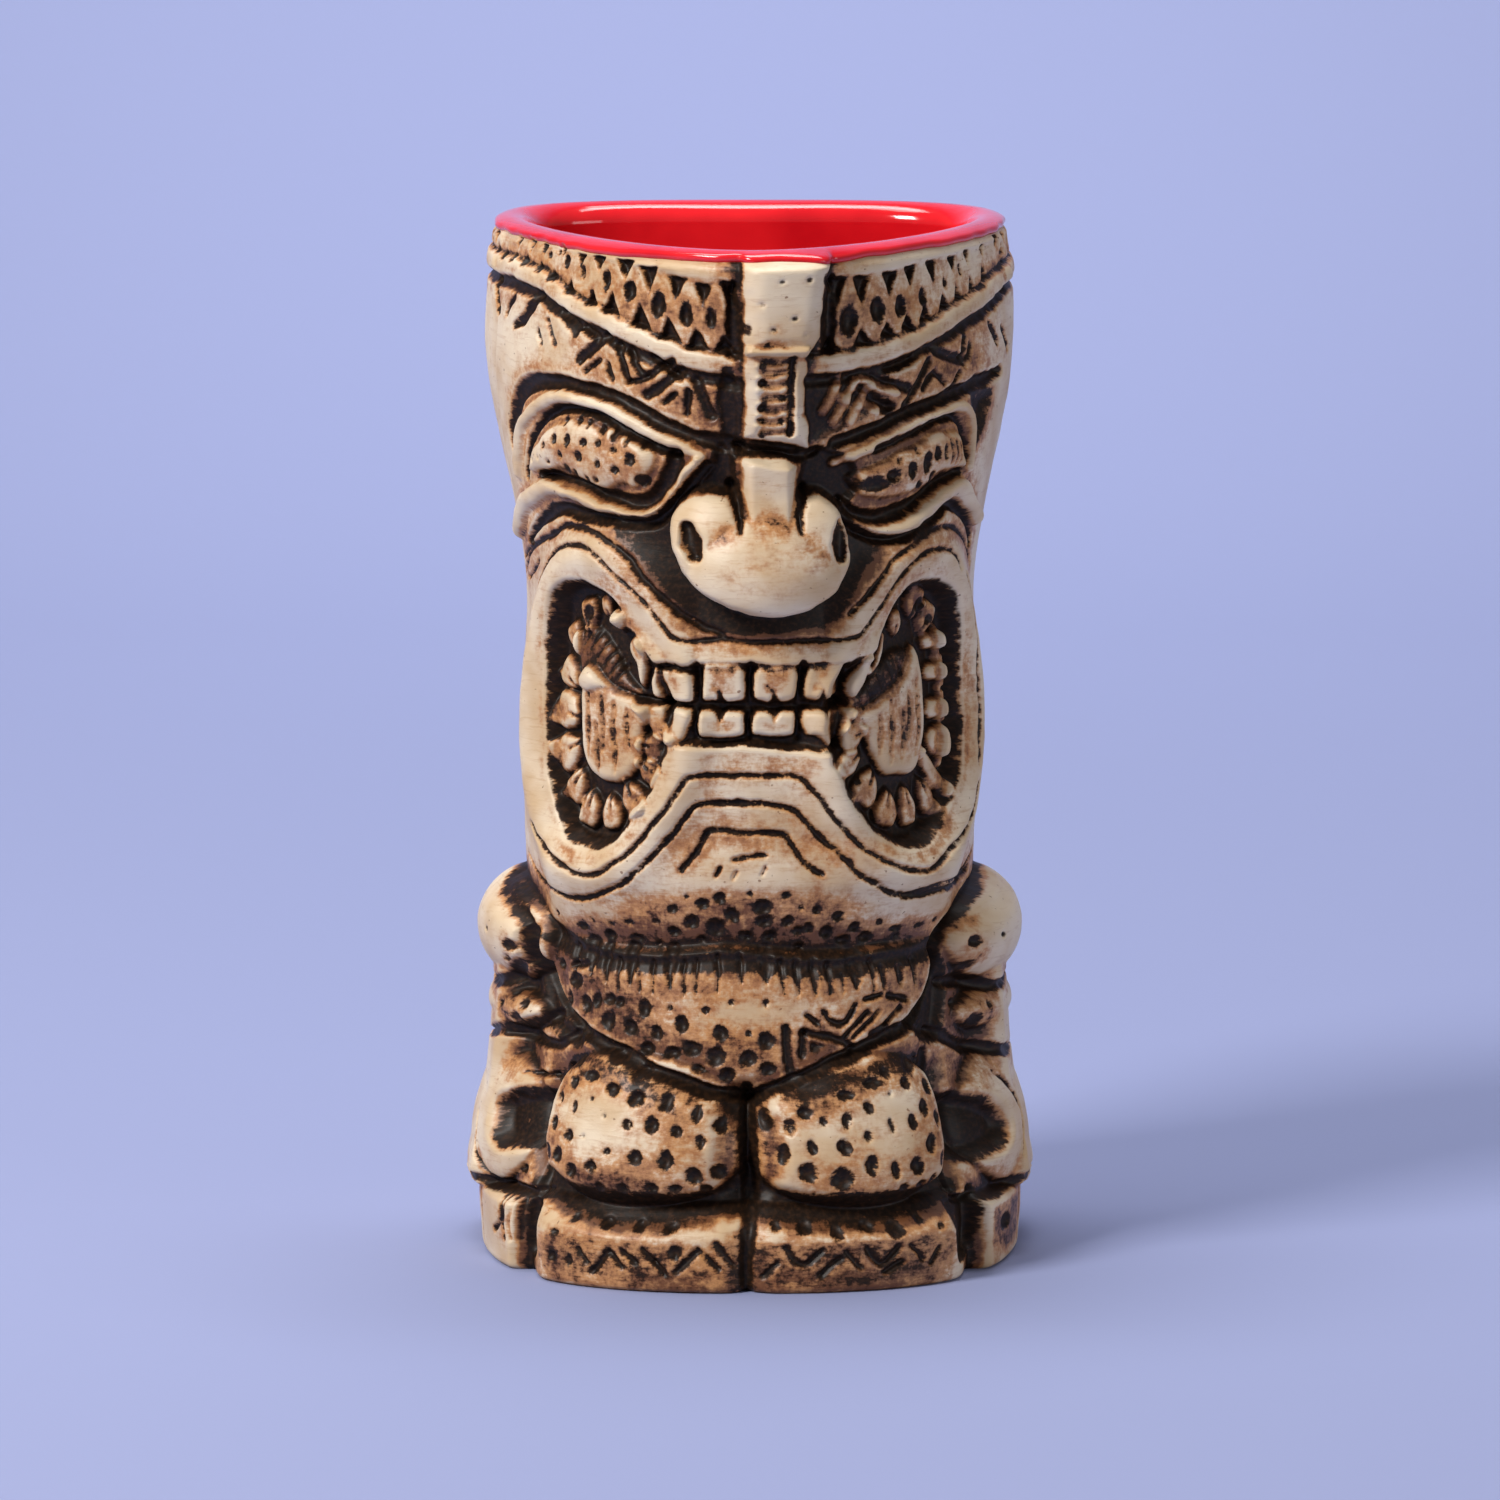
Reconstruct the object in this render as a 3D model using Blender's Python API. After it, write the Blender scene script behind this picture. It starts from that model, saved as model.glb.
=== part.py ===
"""Tiki mug: a slip-cast earthenware cup carved as a squatting figure, and the red glaze that lines it.

Frame: metres, +Z up, the origin at the middle of the footprint, the face looking along -Y.
The cup is a blank with a smooth outline, and the carving stands out of it or is cut into it.
The carving is drawn on the blank's wall unrolled flat: `along` is the distance in millimetres
from the middle of the face, measured on a cylinder of radius DRAWING_RADIUS, and `up` is the
height in millimetres on a mug DRAWN_HEIGHT tall. A taller mug stretches the drawing.
"""

import math
from typing import NamedTuple

import bmesh
import bpy
import numpy as np

MM = 0.001

# Overall sizes.
MUG_HEIGHT = 0.178
MUG_WIDTH = 0.0912  # across the brow, the widest part of the head
MUG_DEPTH = 0.0875  # front to back of the blank at the rim

# Clay and glaze.
WALL = 0.0068
FLOOR = 0.0085
INNER_CORNER = 0.0090  # round between the wall and the floor inside
FOOT_RECESS = 0.0015
FOOT_RING = 0.0075
FOOT_ROUND = 0.0012
GLAZE = 0.0009
COAT_GAP = 0.0003  # between the clay and its glaze
LIP_RISE = 0.0024  # from the top of the straight wall to the top of the clay lip
GLAZE_START_DEG = 34.0  # where the glaze starts on the lip, above its outer side
GLAZE_FULL_DEG = 80.0  # where it has come up from a feather edge to its full thickness

# The drawing.
DRAWN_HEIGHT = 178.0
DRAWN_WIDTH = 91.2
DRAWN_DEPTH = 87.5
DRAWING_RADIUS = 40.0

# How far the hand-carved face's middle wanders from the mould's middle: heights, and distances.
FACE_MIDDLE = ((0.0, 57.0, 95.0, 125.0, 158.0, 178.0), (0.0, 0.0, 1.5, 2.2, 5.0, 5.0))
HEAD_JOIN = 1.5  # half the height over which the chin gives way to the body
CHIN_EDGE = 57.5  # height of the chin's edge at the front
CHIN_CURL = 0.0018  # how fast that edge climbs towards the ears
LIP_FADE = 0.004  # the carving dies away over this height under the lip

# The mesh.
COLUMNS = 66
FRONT_SHARE = 0.32  # draws the columns together at the front, where the carving is
OUTER_ROWS = 46
INNER_ROWS = 7
LIP_STEPS = 6
CORNER_STEPS = 3
OUTLINE_SAMPLES = 720
OUTLINE_ROUND_DEG = 5.0  # how softly the blank's outline turns its corners


class Section(NamedTuple):
    """One level of the blank, in drawing millimetres."""

    up: float
    half_width: float
    front: float  # from the axis to the face
    back: float  # from the axis to the back
    widest: float  # how far behind the axis the blank is widest
    squareness: float  # power of the front's superellipse: 1 is a wedge, 2 round, 3 squarish


SECTIONS = (
    Section(0.0, 43.0, 46.5, 38.0, 4.0, 2.7),
    Section(12.0, 43.5, 46.0, 38.0, 4.0, 2.7),
    Section(30.0, 40.0, 41.5, 36.5, 2.0, 2.4),
    Section(50.0, 38.5, 38.5, 36.0, 0.0, 2.2),
    Section(62.0, 38.5, 38.5, 37.0, 0.0, 2.2),
    Section(75.0, 39.0, 41.5, 37.0, 0.0, 2.2),
    Section(95.0, 39.2, 42.5, 37.5, 1.0, 2.2),
    Section(118.0, 38.8, 41.5, 38.0, 3.0, 2.1),
    Section(130.0, 40.8, 41.5, 38.5, 5.0, 2.0),
    Section(142.0, 43.6, 43.0, 39.5, 8.0, 1.9),
    Section(154.0, 45.6, 45.5, 40.5, 11.0, 1.75),
    Section(166.0, 45.6, 47.5, 40.5, 13.0, 1.65),
    Section(178.0, 44.2, 48.0, 39.5, 14.0, 1.6),
)
BACK_SQUARENESS = 2.9



class Mass(NamedTuple):
    """A rounded mass, or with a negative reach a hollow, on an ellipse of the drawing."""

    along: float
    up: float
    half_width: float
    half_height: float
    reach: float


class Block(NamedTuple):
    """A flat-topped mass with soft sides, between two lines each way."""

    left: float
    right: float
    low: float
    high: float
    edge: float
    reach: float


class Bead(NamedTuple):
    """A rounded ridge along a line of points."""

    half_width: float
    reach: float
    points: tuple


# The head, drawn for one side of its middle.
BULB = Mass(0.0, 123.0, 15.5, 11.0, 10.5)
NOSE_WING = Mass(8.5, 126.5, 9.0, 10.5, 7.5)
BRIDGE = Block(-5.5, 5.5, 128.0, 142.0, 1.5, 5.0)
POST = Block(-6.8, 6.8, 145.0, 200.0, 1.4, 4.2)
HEADBAND = Bead(3.0, 1.6, ((0.0, 157.0), (14.0, 158.5), (34.0, 163.5), (60.0, 169.5)))
SOCKET = Mass(31.0, 140.5, 22.0, 10.0, -2.4)
EYEBALL = Mass(31.0, 141.5, 16.0, 7.0, 2.6)
LOWER_LID = Bead(3.2, 1.5, ((11.0, 140.5), (20.0, 132.0), (31.0, 132.5), (44.0, 134.5), (55.0, 129.0)))
UPPER_LIP = ((0.0, 108.5), (12.0, 108.5), (19.0, 114.0), (26.0, 121.0), (34.0, 124.0), (43.0, 121.5))
CHEEK_LIP = ((48.0, 112.0), (48.5, 98.0), (46.0, 83.0), (38.0, 73.5), (29.0, 71.0))
LOWER_LIP = ((20.0, 76.0), (13.0, 88.0), (0.0, 90.0))
LIPS = Bead(5.0, 2.6, UPPER_LIP + CHEEK_LIP + LOWER_LIP)
MOUTH_LOBE = Mass(31.0, 97.0, 13.5, 23.5, -3.4)
BITE = Block(-30.0, 24.0, 94.5, 106.0, 1.2, -3.4)
TONGUE = Mass(27.5, 97.0, 6.5, 13.0, 2.6)
TEETH = Block(-19.0, 19.0, 96.0, 104.5, 1.0, 2.0)
CHIN = Block(-40.0, 40.0, 60.0, 72.0, 5.0, 2.2)

# The body, drawn for one side of the mould's middle.
BEARD = Mass(0.0, 57.0, 37.0, 26.0, 2.6)
KNEE = Mass(20.0, 27.5, 21.5, 12.5, 6.2)
TOES = Block(2.0, 34.0, -30.0, 12.5, 2.5, 3.6)
SHOULDER = Mass(64.0, 55.0, 23.0, 11.5, 8.8)
ELBOW = Mass(65.0, 41.0, 22.0, 8.0, 6.4)
HAND = Mass(62.0, 24.0, 23.0, 15.0, 6.4)
ARM_BACK = Mass(92.0, 38.0, 28.0, 34.0, 4.5)
PALM = Mass(48.0, 23.0, 8.0, 8.5, -5.0)

CLAY_CREAM = (0.62, 0.50, 0.36)
GLAZE_RED = (0.55, 0.012, 0.016)


def through(points, values, at):
    """A smooth curve through (points, values), read at `at`."""
    points, values = np.asarray(points, float), np.asarray(values, float)
    slopes = np.gradient(values, points)
    first = np.clip(np.searchsorted(points, at, side="right") - 1, 0, len(points) - 2)
    span = points[first + 1] - points[first]
    t = np.clip((at - points[first]) / span, 0.0, 1.0)
    rise = values[first + 1] - values[first]
    start, end = slopes[first] * span, slopes[first + 1] * span
    return values[first] + t * (start + t * (3 * rise - 2 * start - end + t * (start + end - 2 * rise)))


def blank_radius(angles, height):
    """The blank's radius in metres at each angle from the face's middle, at this height."""
    up = height / MUG_HEIGHT * DRAWN_HEIGHT
    level = np.array([[s.up] + list(s[1:]) for s in SECTIONS])
    wide, front, back, widest, power = (through(level[:, 0], level[:, i], up) for i in (1, 2, 3, 4, 5))
    turn = np.linspace(-math.pi, math.pi, OUTLINE_SAMPLES, endpoint=False)
    ahead = np.cos(turn) > 0
    square = 2 / np.where(ahead, power, BACK_SQUARENESS)
    across = wide * np.sign(np.sin(turn)) * np.abs(np.sin(turn)) ** square
    reach = np.where(ahead, front + widest, back - widest)
    forward = reach * np.sign(np.cos(turn)) * np.abs(np.cos(turn)) ** square - widest
    across, forward = across * MUG_WIDTH / DRAWN_WIDTH, forward * MUG_DEPTH / DRAWN_DEPTH
    radius = np.interp(turn, np.arctan2(across, forward), np.hypot(across, forward), period=2 * math.pi)
    waves = np.arange(OUTLINE_SAMPLES // 2 + 1)
    damping = np.exp(-((waves * math.radians(OUTLINE_ROUND_DEG)) ** 2) / 2)
    radius = np.fft.irfft(np.fft.rfft(radius) * damping, OUTLINE_SAMPLES)
    return np.interp(angles, turn, radius, period=2 * math.pi)


def soft_step(value, low, high):
    """0 below low, 1 above high, and smooth between."""
    t = np.clip((value - low) / (high - low), 0.0, 1.0)
    return t * t * (3 - 2 * t)


def mass(along, up, shape):
    """The height of a Mass at a place on the drawing."""
    outward = ((along - shape.along) / shape.half_width) ** 2 + ((up - shape.up) / shape.half_height) ** 2
    return shape.reach * np.clip(1 - outward, 0.0, 1.0)


def block(along, up, shape):
    """The height of a Block at a place on the drawing."""
    edge = shape.edge
    rising = soft_step(along, shape.left - edge, shape.left + edge)
    falling = soft_step(along, shape.right - edge, shape.right + edge)
    bottom = soft_step(up, shape.low - edge, shape.low + edge)
    top = soft_step(up, shape.high - edge, shape.high + edge)
    return shape.reach * rising * (1 - falling) * bottom * (1 - top)


def bead(along, up, shape):
    """The height of a Bead at a place on the drawing."""
    nearest = np.full(np.shape(along), np.inf)
    for (x0, y0), (x1, y1) in zip(shape.points, shape.points[1:]):
        run = (x1 - x0) ** 2 + (y1 - y0) ** 2
        share = np.clip(((along - x0) * (x1 - x0) + (up - y0) * (y1 - y0)) / run, 0.0, 1.0)
        gap = np.hypot(along - x0 - share * (x1 - x0), up - y0 - share * (y1 - y0))
        nearest = np.minimum(nearest, gap)
    return shape.reach * np.sqrt(np.clip(1 - (nearest / shape.half_width) ** 2, 0.0, 1.0))


def face_relief(along, up):
    """The head's carving, which is the same on both sides of its middle."""
    side = np.abs(along - through(*FACE_MIDDLE, np.asarray([up]))[0])
    relief = bead(side, up, HEADBAND) + mass(side, up, SOCKET) + mass(side, up, EYEBALL)
    relief = np.maximum(relief, np.maximum(bead(side, up, LOWER_LID), bead(side, up, LIPS)))
    relief += np.minimum(mass(side, up, MOUTH_LOBE), block(side, up, BITE))
    relief += np.maximum(mass(side, up, TONGUE), block(side, up, TEETH)) + block(side, up, CHIN)
    for shape in (BRIDGE, POST):
        relief = np.maximum(relief, block(side, up, shape))
    for shape in (NOSE_WING, BULB):
        relief = np.maximum(relief, mass(side, up, shape))
    return relief


def body_relief(along, up):
    """Beard, knees, toes and arms, below the chin."""
    side = np.abs(along)
    relief = np.maximum(mass(side, up, BEARD), mass(side, up, KNEE))
    relief = np.maximum(relief, block(side, up, TOES))
    arm = np.zeros_like(relief)
    for shape in (SHOULDER, ELBOW, HAND, ARM_BACK):
        arm = np.maximum(arm, mass(side, up, shape))
    return np.maximum(relief, arm + mass(side, up, PALM))


def outer_radius(angles, height):
    """The carved wall's radius in metres at each angle, at this height."""
    up = height / MUG_HEIGHT * DRAWN_HEIGHT
    along = angles * DRAWING_RADIUS
    chin_edge = CHIN_EDGE + CHIN_CURL * along**2
    head = soft_step(up, chin_edge - HEAD_JOIN, chin_edge + HEAD_JOIN)
    relief = head * face_relief(along, up) + (1 - head) * body_relief(along, up)
    fade = 1 - soft_step(height, lip_centre_height() - LIP_FADE, lip_centre_height())
    return blank_radius(angles, height) + MM * relief * fade


def lip_centre_height():
    """Height of the middle of the lip's round, under the glaze that covers it."""
    return MUG_HEIGHT - GLAZE - COAT_GAP - LIP_RISE


def column_angles():
    """Angles of the columns, closer together at the front."""
    turn = np.linspace(-math.pi, math.pi, COLUMNS, endpoint=False)
    return turn - FRONT_SHARE * np.sin(turn)


def lip_ring(angles, clearance, degrees):
    """One ring round the lip: 0 degrees is its outer side, 90 its top and 180 its inner side."""
    turn = math.radians(degrees)
    outward = (WALL / 2 + clearance) * math.cos(turn)
    height = lip_centre_height() + (LIP_RISE + clearance) * math.sin(turn)
    return blank_radius(angles, lip_centre_height()) - WALL / 2 + outward, height


def inner_rings(angles, clearance):
    """Rings down the inside wall and round the corner onto the floor, on a coat this thick."""
    floor = FLOOR + clearance
    top = lip_centre_height()
    corner = INNER_CORNER - clearance
    rings = []
    for height in np.linspace(top, floor + corner, INNER_ROWS + 1)[1:]:
        rings.append((blank_radius(angles, height) - WALL - clearance, height))
    foot = blank_radius(angles, floor + corner) - WALL - clearance
    for degrees in np.linspace(0.0, 90.0, CORNER_STEPS + 1)[1:]:
        turn = math.radians(degrees)
        rings.append((foot - corner * (1 - math.cos(turn)), floor + corner * (1 - math.sin(turn))))
    return rings


def move_ring(ring, column, angles, radii, height):
    """Puts each vertex of a ring at its column's angle and radius."""
    for vertex in ring:
        index = vertex[column]
        angle, radius = angles[index], radii[index]
        vertex.co = (radius * math.sin(angle), -radius * math.cos(angle), height)


def split_quads(bm, column, count):
    """Splits each quad from its lower left to its upper right corner, so that two shells which
    follow each other fold the same way and keep their gap."""
    for face in [face for face in bm.faces if len(face.verts) == 4]:
        columns = {vertex[column] for vertex in face.verts}
        first = next(index for index in columns if (index + 1) % count in columns)
        left = [vertex for vertex in face.verts if vertex[column] == first]
        right = [vertex for vertex in face.verts if vertex[column] != first]
        lower = min(left, key=lambda vertex: (vertex.co.z, vertex.co.xy.length))
        upper = max(right, key=lambda vertex: (vertex.co.z, vertex.co.xy.length))
        bmesh.utils.face_split(face, lower, upper)


def turned_shell(name, angles, rings):
    """A closed body: a disc at the first ring, extruded through the rings, and a disc at the last."""
    bm = bmesh.new()
    column = bm.verts.layers.int.new("column")
    ring = bmesh.ops.create_circle(bm, segments=len(angles), radius=1.0)["verts"]
    for index, vertex in enumerate(ring):
        vertex[column] = index
    move_ring(ring, column, angles, *rings[0])
    edges = list(bm.edges)
    bmesh.ops.contextual_create(bm, geom=edges)
    for radii, height in rings[1:]:
        grown = bmesh.ops.extrude_edge_only(bm, edges=edges)["geom"]
        edges = [item for item in grown if isinstance(item, bmesh.types.BMEdge)]
        ring = [item for item in grown if isinstance(item, bmesh.types.BMVert)]
        move_ring(ring, column, angles, radii, height)
    bmesh.ops.contextual_create(bm, geom=edges)
    split_quads(bm, column, len(angles))
    bmesh.ops.recalc_face_normals(bm, faces=bm.faces)
    mesh = bpy.data.meshes.new(name)
    bm.to_mesh(mesh)
    bm.free()
    mesh.shade_smooth()
    body = bpy.data.objects.new(name, mesh)
    bpy.context.scene.collection.objects.link(body)
    return body


def cast_body(angles):
    """The clay: recessed foot, carved wall, rounded lip, plain inside and floor."""
    lowest = outer_radius(angles, FOOT_ROUND)
    recess = blank_radius(angles, FOOT_ROUND) - FOOT_RING
    rings = [
        (recess - FOOT_RECESS, FOOT_RECESS),
        (recess, 0.0),
        (lowest - FOOT_ROUND, 0.0),
        (lowest - 0.3 * FOOT_ROUND, 0.3 * FOOT_ROUND),
    ]
    for height in np.linspace(FOOT_ROUND, lip_centre_height(), OUTER_ROWS):
        rings.append((outer_radius(angles, height), height))
    for degrees in np.linspace(0.0, 180.0, LIP_STEPS + 1)[1:]:
        rings.append(lip_ring(angles, 0.0, degrees))
    return turned_shell("cast_body", angles, rings + inner_rings(angles, 0.0))


def glaze_lining(angles):
    """The glaze: from the lip's outer side over the top, down the inside and across the floor."""
    under, seen = [], []
    for degrees in np.linspace(GLAZE_START_DEG, 180.0, LIP_STEPS):
        thickness = GLAZE * (0.25 + 0.75 * soft_step(degrees, GLAZE_START_DEG, GLAZE_FULL_DEG))
        under.append(lip_ring(angles, COAT_GAP, degrees))
        seen.append(lip_ring(angles, COAT_GAP + thickness, degrees))
    under += inner_rings(angles, COAT_GAP)
    seen += inner_rings(angles, COAT_GAP + GLAZE)
    return turned_shell("glaze_lining", angles, under[::-1] + seen)


def stand_in_middle(pieces):
    """Moves the pieces together until the middle of their box is over the origin."""
    depths = [vertex.co.y for piece in pieces for vertex in piece.data.vertices]
    widths = [vertex.co.x for piece in pieces for vertex in piece.data.vertices]
    middle = ((min(widths) + max(widths)) / 2, (min(depths) + max(depths)) / 2, 0.0)
    for piece in pieces:
        piece.location = [-place for place in middle]


def finish(body, name, colour, roughness):
    """A plain finish for one piece."""
    material = bpy.data.materials.new(name)
    material.use_nodes = True
    shader = material.node_tree.nodes["Principled BSDF"]
    shader.inputs["Base Color"].default_value = (*colour, 1.0)
    shader.inputs["Roughness"].default_value = roughness
    shader.inputs["Metallic"].default_value = 0.0
    body.data.materials.append(material)


def main():
    for old in list(bpy.data.objects):
        bpy.data.objects.remove(old)
    angles = column_angles()
    clay, glaze = cast_body(angles), glaze_lining(angles)
    finish(clay, "stained_clay", CLAY_CREAM, 0.5)
    finish(glaze, "red_glaze", GLAZE_RED, 0.08)
    stand_in_middle([clay, glaze])


main()
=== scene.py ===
"""Tiki mug, the looks: the carved and wiped clay wall in bands, its foot, and the red glaze.

The carving is drawn as a height map on the wall unrolled flat. `along` is millimetres from the
middle of the face, measured on a cylinder of 40 mm radius, and `up` is millimetres above the table.
"""

import math

import bmesh
import bpy
import numpy as np
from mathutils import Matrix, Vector


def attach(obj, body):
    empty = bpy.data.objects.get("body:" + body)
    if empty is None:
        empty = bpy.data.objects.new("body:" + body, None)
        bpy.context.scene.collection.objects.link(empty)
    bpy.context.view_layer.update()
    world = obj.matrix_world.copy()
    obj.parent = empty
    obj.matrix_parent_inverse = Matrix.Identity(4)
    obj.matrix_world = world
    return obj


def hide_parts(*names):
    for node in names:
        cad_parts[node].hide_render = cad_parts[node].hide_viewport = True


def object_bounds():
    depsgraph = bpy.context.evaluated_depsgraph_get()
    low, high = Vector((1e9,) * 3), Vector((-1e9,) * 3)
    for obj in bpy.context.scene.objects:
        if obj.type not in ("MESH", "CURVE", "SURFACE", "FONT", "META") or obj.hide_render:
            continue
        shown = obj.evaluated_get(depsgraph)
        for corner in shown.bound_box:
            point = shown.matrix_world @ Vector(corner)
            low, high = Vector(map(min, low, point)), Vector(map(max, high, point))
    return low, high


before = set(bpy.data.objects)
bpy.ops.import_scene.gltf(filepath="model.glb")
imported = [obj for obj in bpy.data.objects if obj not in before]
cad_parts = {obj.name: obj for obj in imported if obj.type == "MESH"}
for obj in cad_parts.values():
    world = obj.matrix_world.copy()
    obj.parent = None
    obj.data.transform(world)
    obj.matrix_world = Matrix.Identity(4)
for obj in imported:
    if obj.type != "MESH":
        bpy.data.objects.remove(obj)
cad_box = [list(corner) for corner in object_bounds()]

MM = 0.001
TOP = round(cad_box[1][2] / MM)  # of the mug, in millimetres as all that follows
RADIUS = 40.0  # of the drawing's cylinder
TURN = 2 * math.pi * RADIUS
HALF = 126.0  # the drawing goes this far to each side of the face's middle
STEP = 0.2  # between the drawing's points
ALONG, UP = np.meshgrid(np.arange(-HALF, HALF + 0.1, STEP), np.arange(0.0, TOP + 0.3, STEP))

WALL = 6.8
FLOOR = 8.5
CORNER = 9.0  # round between the wall and the floor inside
COAT = 1.2  # glaze over the clay, with the gap under it
LIP_RISE = 2.4  # from the top of the straight wall to the top of the clay lip
LIP_MIDDLE = TOP - COAT - LIP_RISE
LIP_DRAWN = 3.4  # height of drawing that wraps over the outer side of the lip
FOOT_ROUND = 1.2  # the wall's lower edge
FOOT_RING = 7.5
FOOT_RECESS = 1.5
OUTLINE_STEPS = 720  # round the blank
OUTLINE_ROUND = math.radians(5.0)  # how softly the blank's outline turns its corners
BACK_SQUARENESS = 2.9
FRONT_HALF = 61  # the front bands end this far to each side of the middle
MAP_SIZE = 400  # millimetres of drawing to one unit of the UV map
AXIS_Y = 0.0054  # metres that the blank's axis stands behind the origin

# The blank: up, half width, front, back, how far behind the axis it is widest, squareness.
SECTIONS = np.array([
    (0, 43, 46.5, 38, 4, 2.7), (12, 43.5, 46, 38, 4, 2.7), (30, 40, 41.5, 36.5, 2, 2.4),
    (50, 38.5, 38.5, 36, 0, 2.2), (62, 38.5, 38.5, 37, 0, 2.2), (75, 39, 41.5, 37, 0, 2.2),
    (95, 39.2, 42.5, 37.5, 1, 2.2), (118, 38.8, 41.5, 38, 3, 2.1), (130, 40.8, 41.5, 38.5, 5, 2.0),
    (142, 43.6, 43, 39.5, 8, 1.9), (154, 45.6, 45.5, 40.5, 11, 1.75),
    (166, 45.6, 47.5, 40.5, 13, 1.65), (178, 44.2, 48, 39.5, 14, 1.6),
])


def through(points, values, at):
    """A smooth curve through (points, values), read at `at`."""
    points, values = np.asarray(points, float), np.asarray(values, float)
    slopes = np.gradient(values, points)
    first = np.clip(np.searchsorted(points, at, side="right") - 1, 0, len(points) - 2)
    span = points[first + 1] - points[first]
    t = np.clip((at - points[first]) / span, 0.0, 1.0)
    rise = values[first + 1] - values[first]
    start, end = slopes[first] * span, slopes[first + 1] * span
    return values[first] + t * (start + t * (3 * rise - 2 * start - end + t * (start + end - 2 * rise)))


def blank_radius(angles, up):
    """The blank's radius in millimetres at each angle from the face's middle, at this height."""
    wide, front, back, widest, power = (through(SECTIONS[:, 0], SECTIONS[:, i],
                                                up) for i in range(1, 6))
    turn = np.linspace(-math.pi, math.pi, OUTLINE_STEPS, endpoint=False)
    ahead = np.cos(turn) > 0
    square = 2 / np.where(ahead, power, BACK_SQUARENESS)
    across = wide * np.sign(np.sin(turn)) * np.abs(np.sin(turn)) ** square
    reach = np.where(ahead, front + widest, back - widest)
    forward = reach * np.sign(np.cos(turn)) * np.abs(np.cos(turn)) ** square - widest
    radius = np.interp(turn, np.arctan2(across, forward), np.hypot(across, forward), period=2 * math.pi)
    damping = np.exp(-((np.arange(OUTLINE_STEPS // 2 + 1) * OUTLINE_ROUND) ** 2) / 2)
    radius = np.fft.irfft(np.fft.rfft(radius) * damping, OUTLINE_STEPS)
    return np.interp(angles, turn, radius, period=2 * math.pi)


def soft(value, low, high):
    """0 below low, 1 above high, and smooth between."""
    t = np.clip((value - low) / (high - low), 0.0, 1.0)
    return t * t * (3 - 2 * t)


def noise(wide, tall, seed):
    """Smooth random waves from -1 to 1 on the drawing, which meet where the wall closes."""
    columns, rows = max(4, round(TURN / wide)), int(180 / tall) + 3
    values = np.random.default_rng(seed).uniform(-1, 1, (rows, columns))
    x, y = ALONG / TURN * columns, UP / tall
    left, low = np.floor(x).astype(int), np.floor(y).astype(int)
    tx, ty = soft(x - left, 0, 1), soft(y - low, 0, 1)
    right, left = (left + 1) % columns, left % columns
    bottom = values[low, left] * (1 - tx) + values[low, right] * tx
    top = values[low + 1, left] * (1 - tx) + values[low + 1, right] * tx
    return bottom * (1 - ty) + top * ty


def blur(field, radius):
    """The field softened over this many millimetres, its ends across carried round the wall."""
    across = np.fft.rfftfreq(field.shape[1] - 1, STEP)
    upward = np.fft.fftfreq(2 * field.shape[0], STEP)
    tall = np.concatenate([field, field[::-1]])[:, :-1]
    damping = np.exp(-2 * (math.pi * radius) ** 2 * (across[None] ** 2 + upward[:, None] ** 2))
    out = np.fft.irfft2(np.fft.rfft2(tall) * damping, tall.shape)[: field.shape[0]]
    return np.concatenate([out, out[:, :1]], axis=1)


# The hand's wobble: every line is drawn in these slightly wandering coordinates.
HAND_ALONG = ALONG + 0.28 * noise(4.5, 4.5, 1) + 0.16 * noise(1.5, 1.5, 2)
HAND_UP = UP + 0.28 * noise(4.5, 4.5, 3) + 0.16 * noise(1.5, 1.5, 4)
RELIEF = np.zeros_like(ALONG)  # height over the blank
INK = np.zeros_like(ALONG)  # stain brushed on, beyond what gathers in the hollows, and in a few places painted shade
FAR = 99.0  # stands for any distance beyond a line's margin


def smooth_line(points, closed=False, parts=4):
    """Points along a smooth curve through the given ones."""
    points = np.asarray(points, float)
    if len(points) < 3:
        return points
    if closed:
        padded = np.concatenate([points[-1:], points, points[:2]])
    else:
        padded = np.concatenate([2 * points[:1] - points[1:2], points, 2 * points[-1:] - points[-2:-1]])
    out = []
    for a, b, c, d in zip(padded, padded[1:], padded[2:], padded[3:]):
        for t in np.arange(parts) / parts:
            bend = (2 * a - 5 * b + 4 * c - d) * t * t
            out.append(0.5 * (2 * b + (c - a) * t + bend + (3 * b - a - 3 * c + d) * t**3))
    out.append(out[0] if closed else points[-1])
    return np.array(out)


def window(points, margin):
    """The part of the map that these points and a margin round them cover."""
    low, high = points.min(0) - margin, points.max(0) + margin
    cols = slice(max(0, int((low[0] + HALF) / STEP)), max(0, int((high[0] + HALF) / STEP) + 2))
    rows = slice(max(0, int(low[1] / STEP)), max(0, int(high[1] / STEP) + 2))
    return rows, cols


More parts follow.
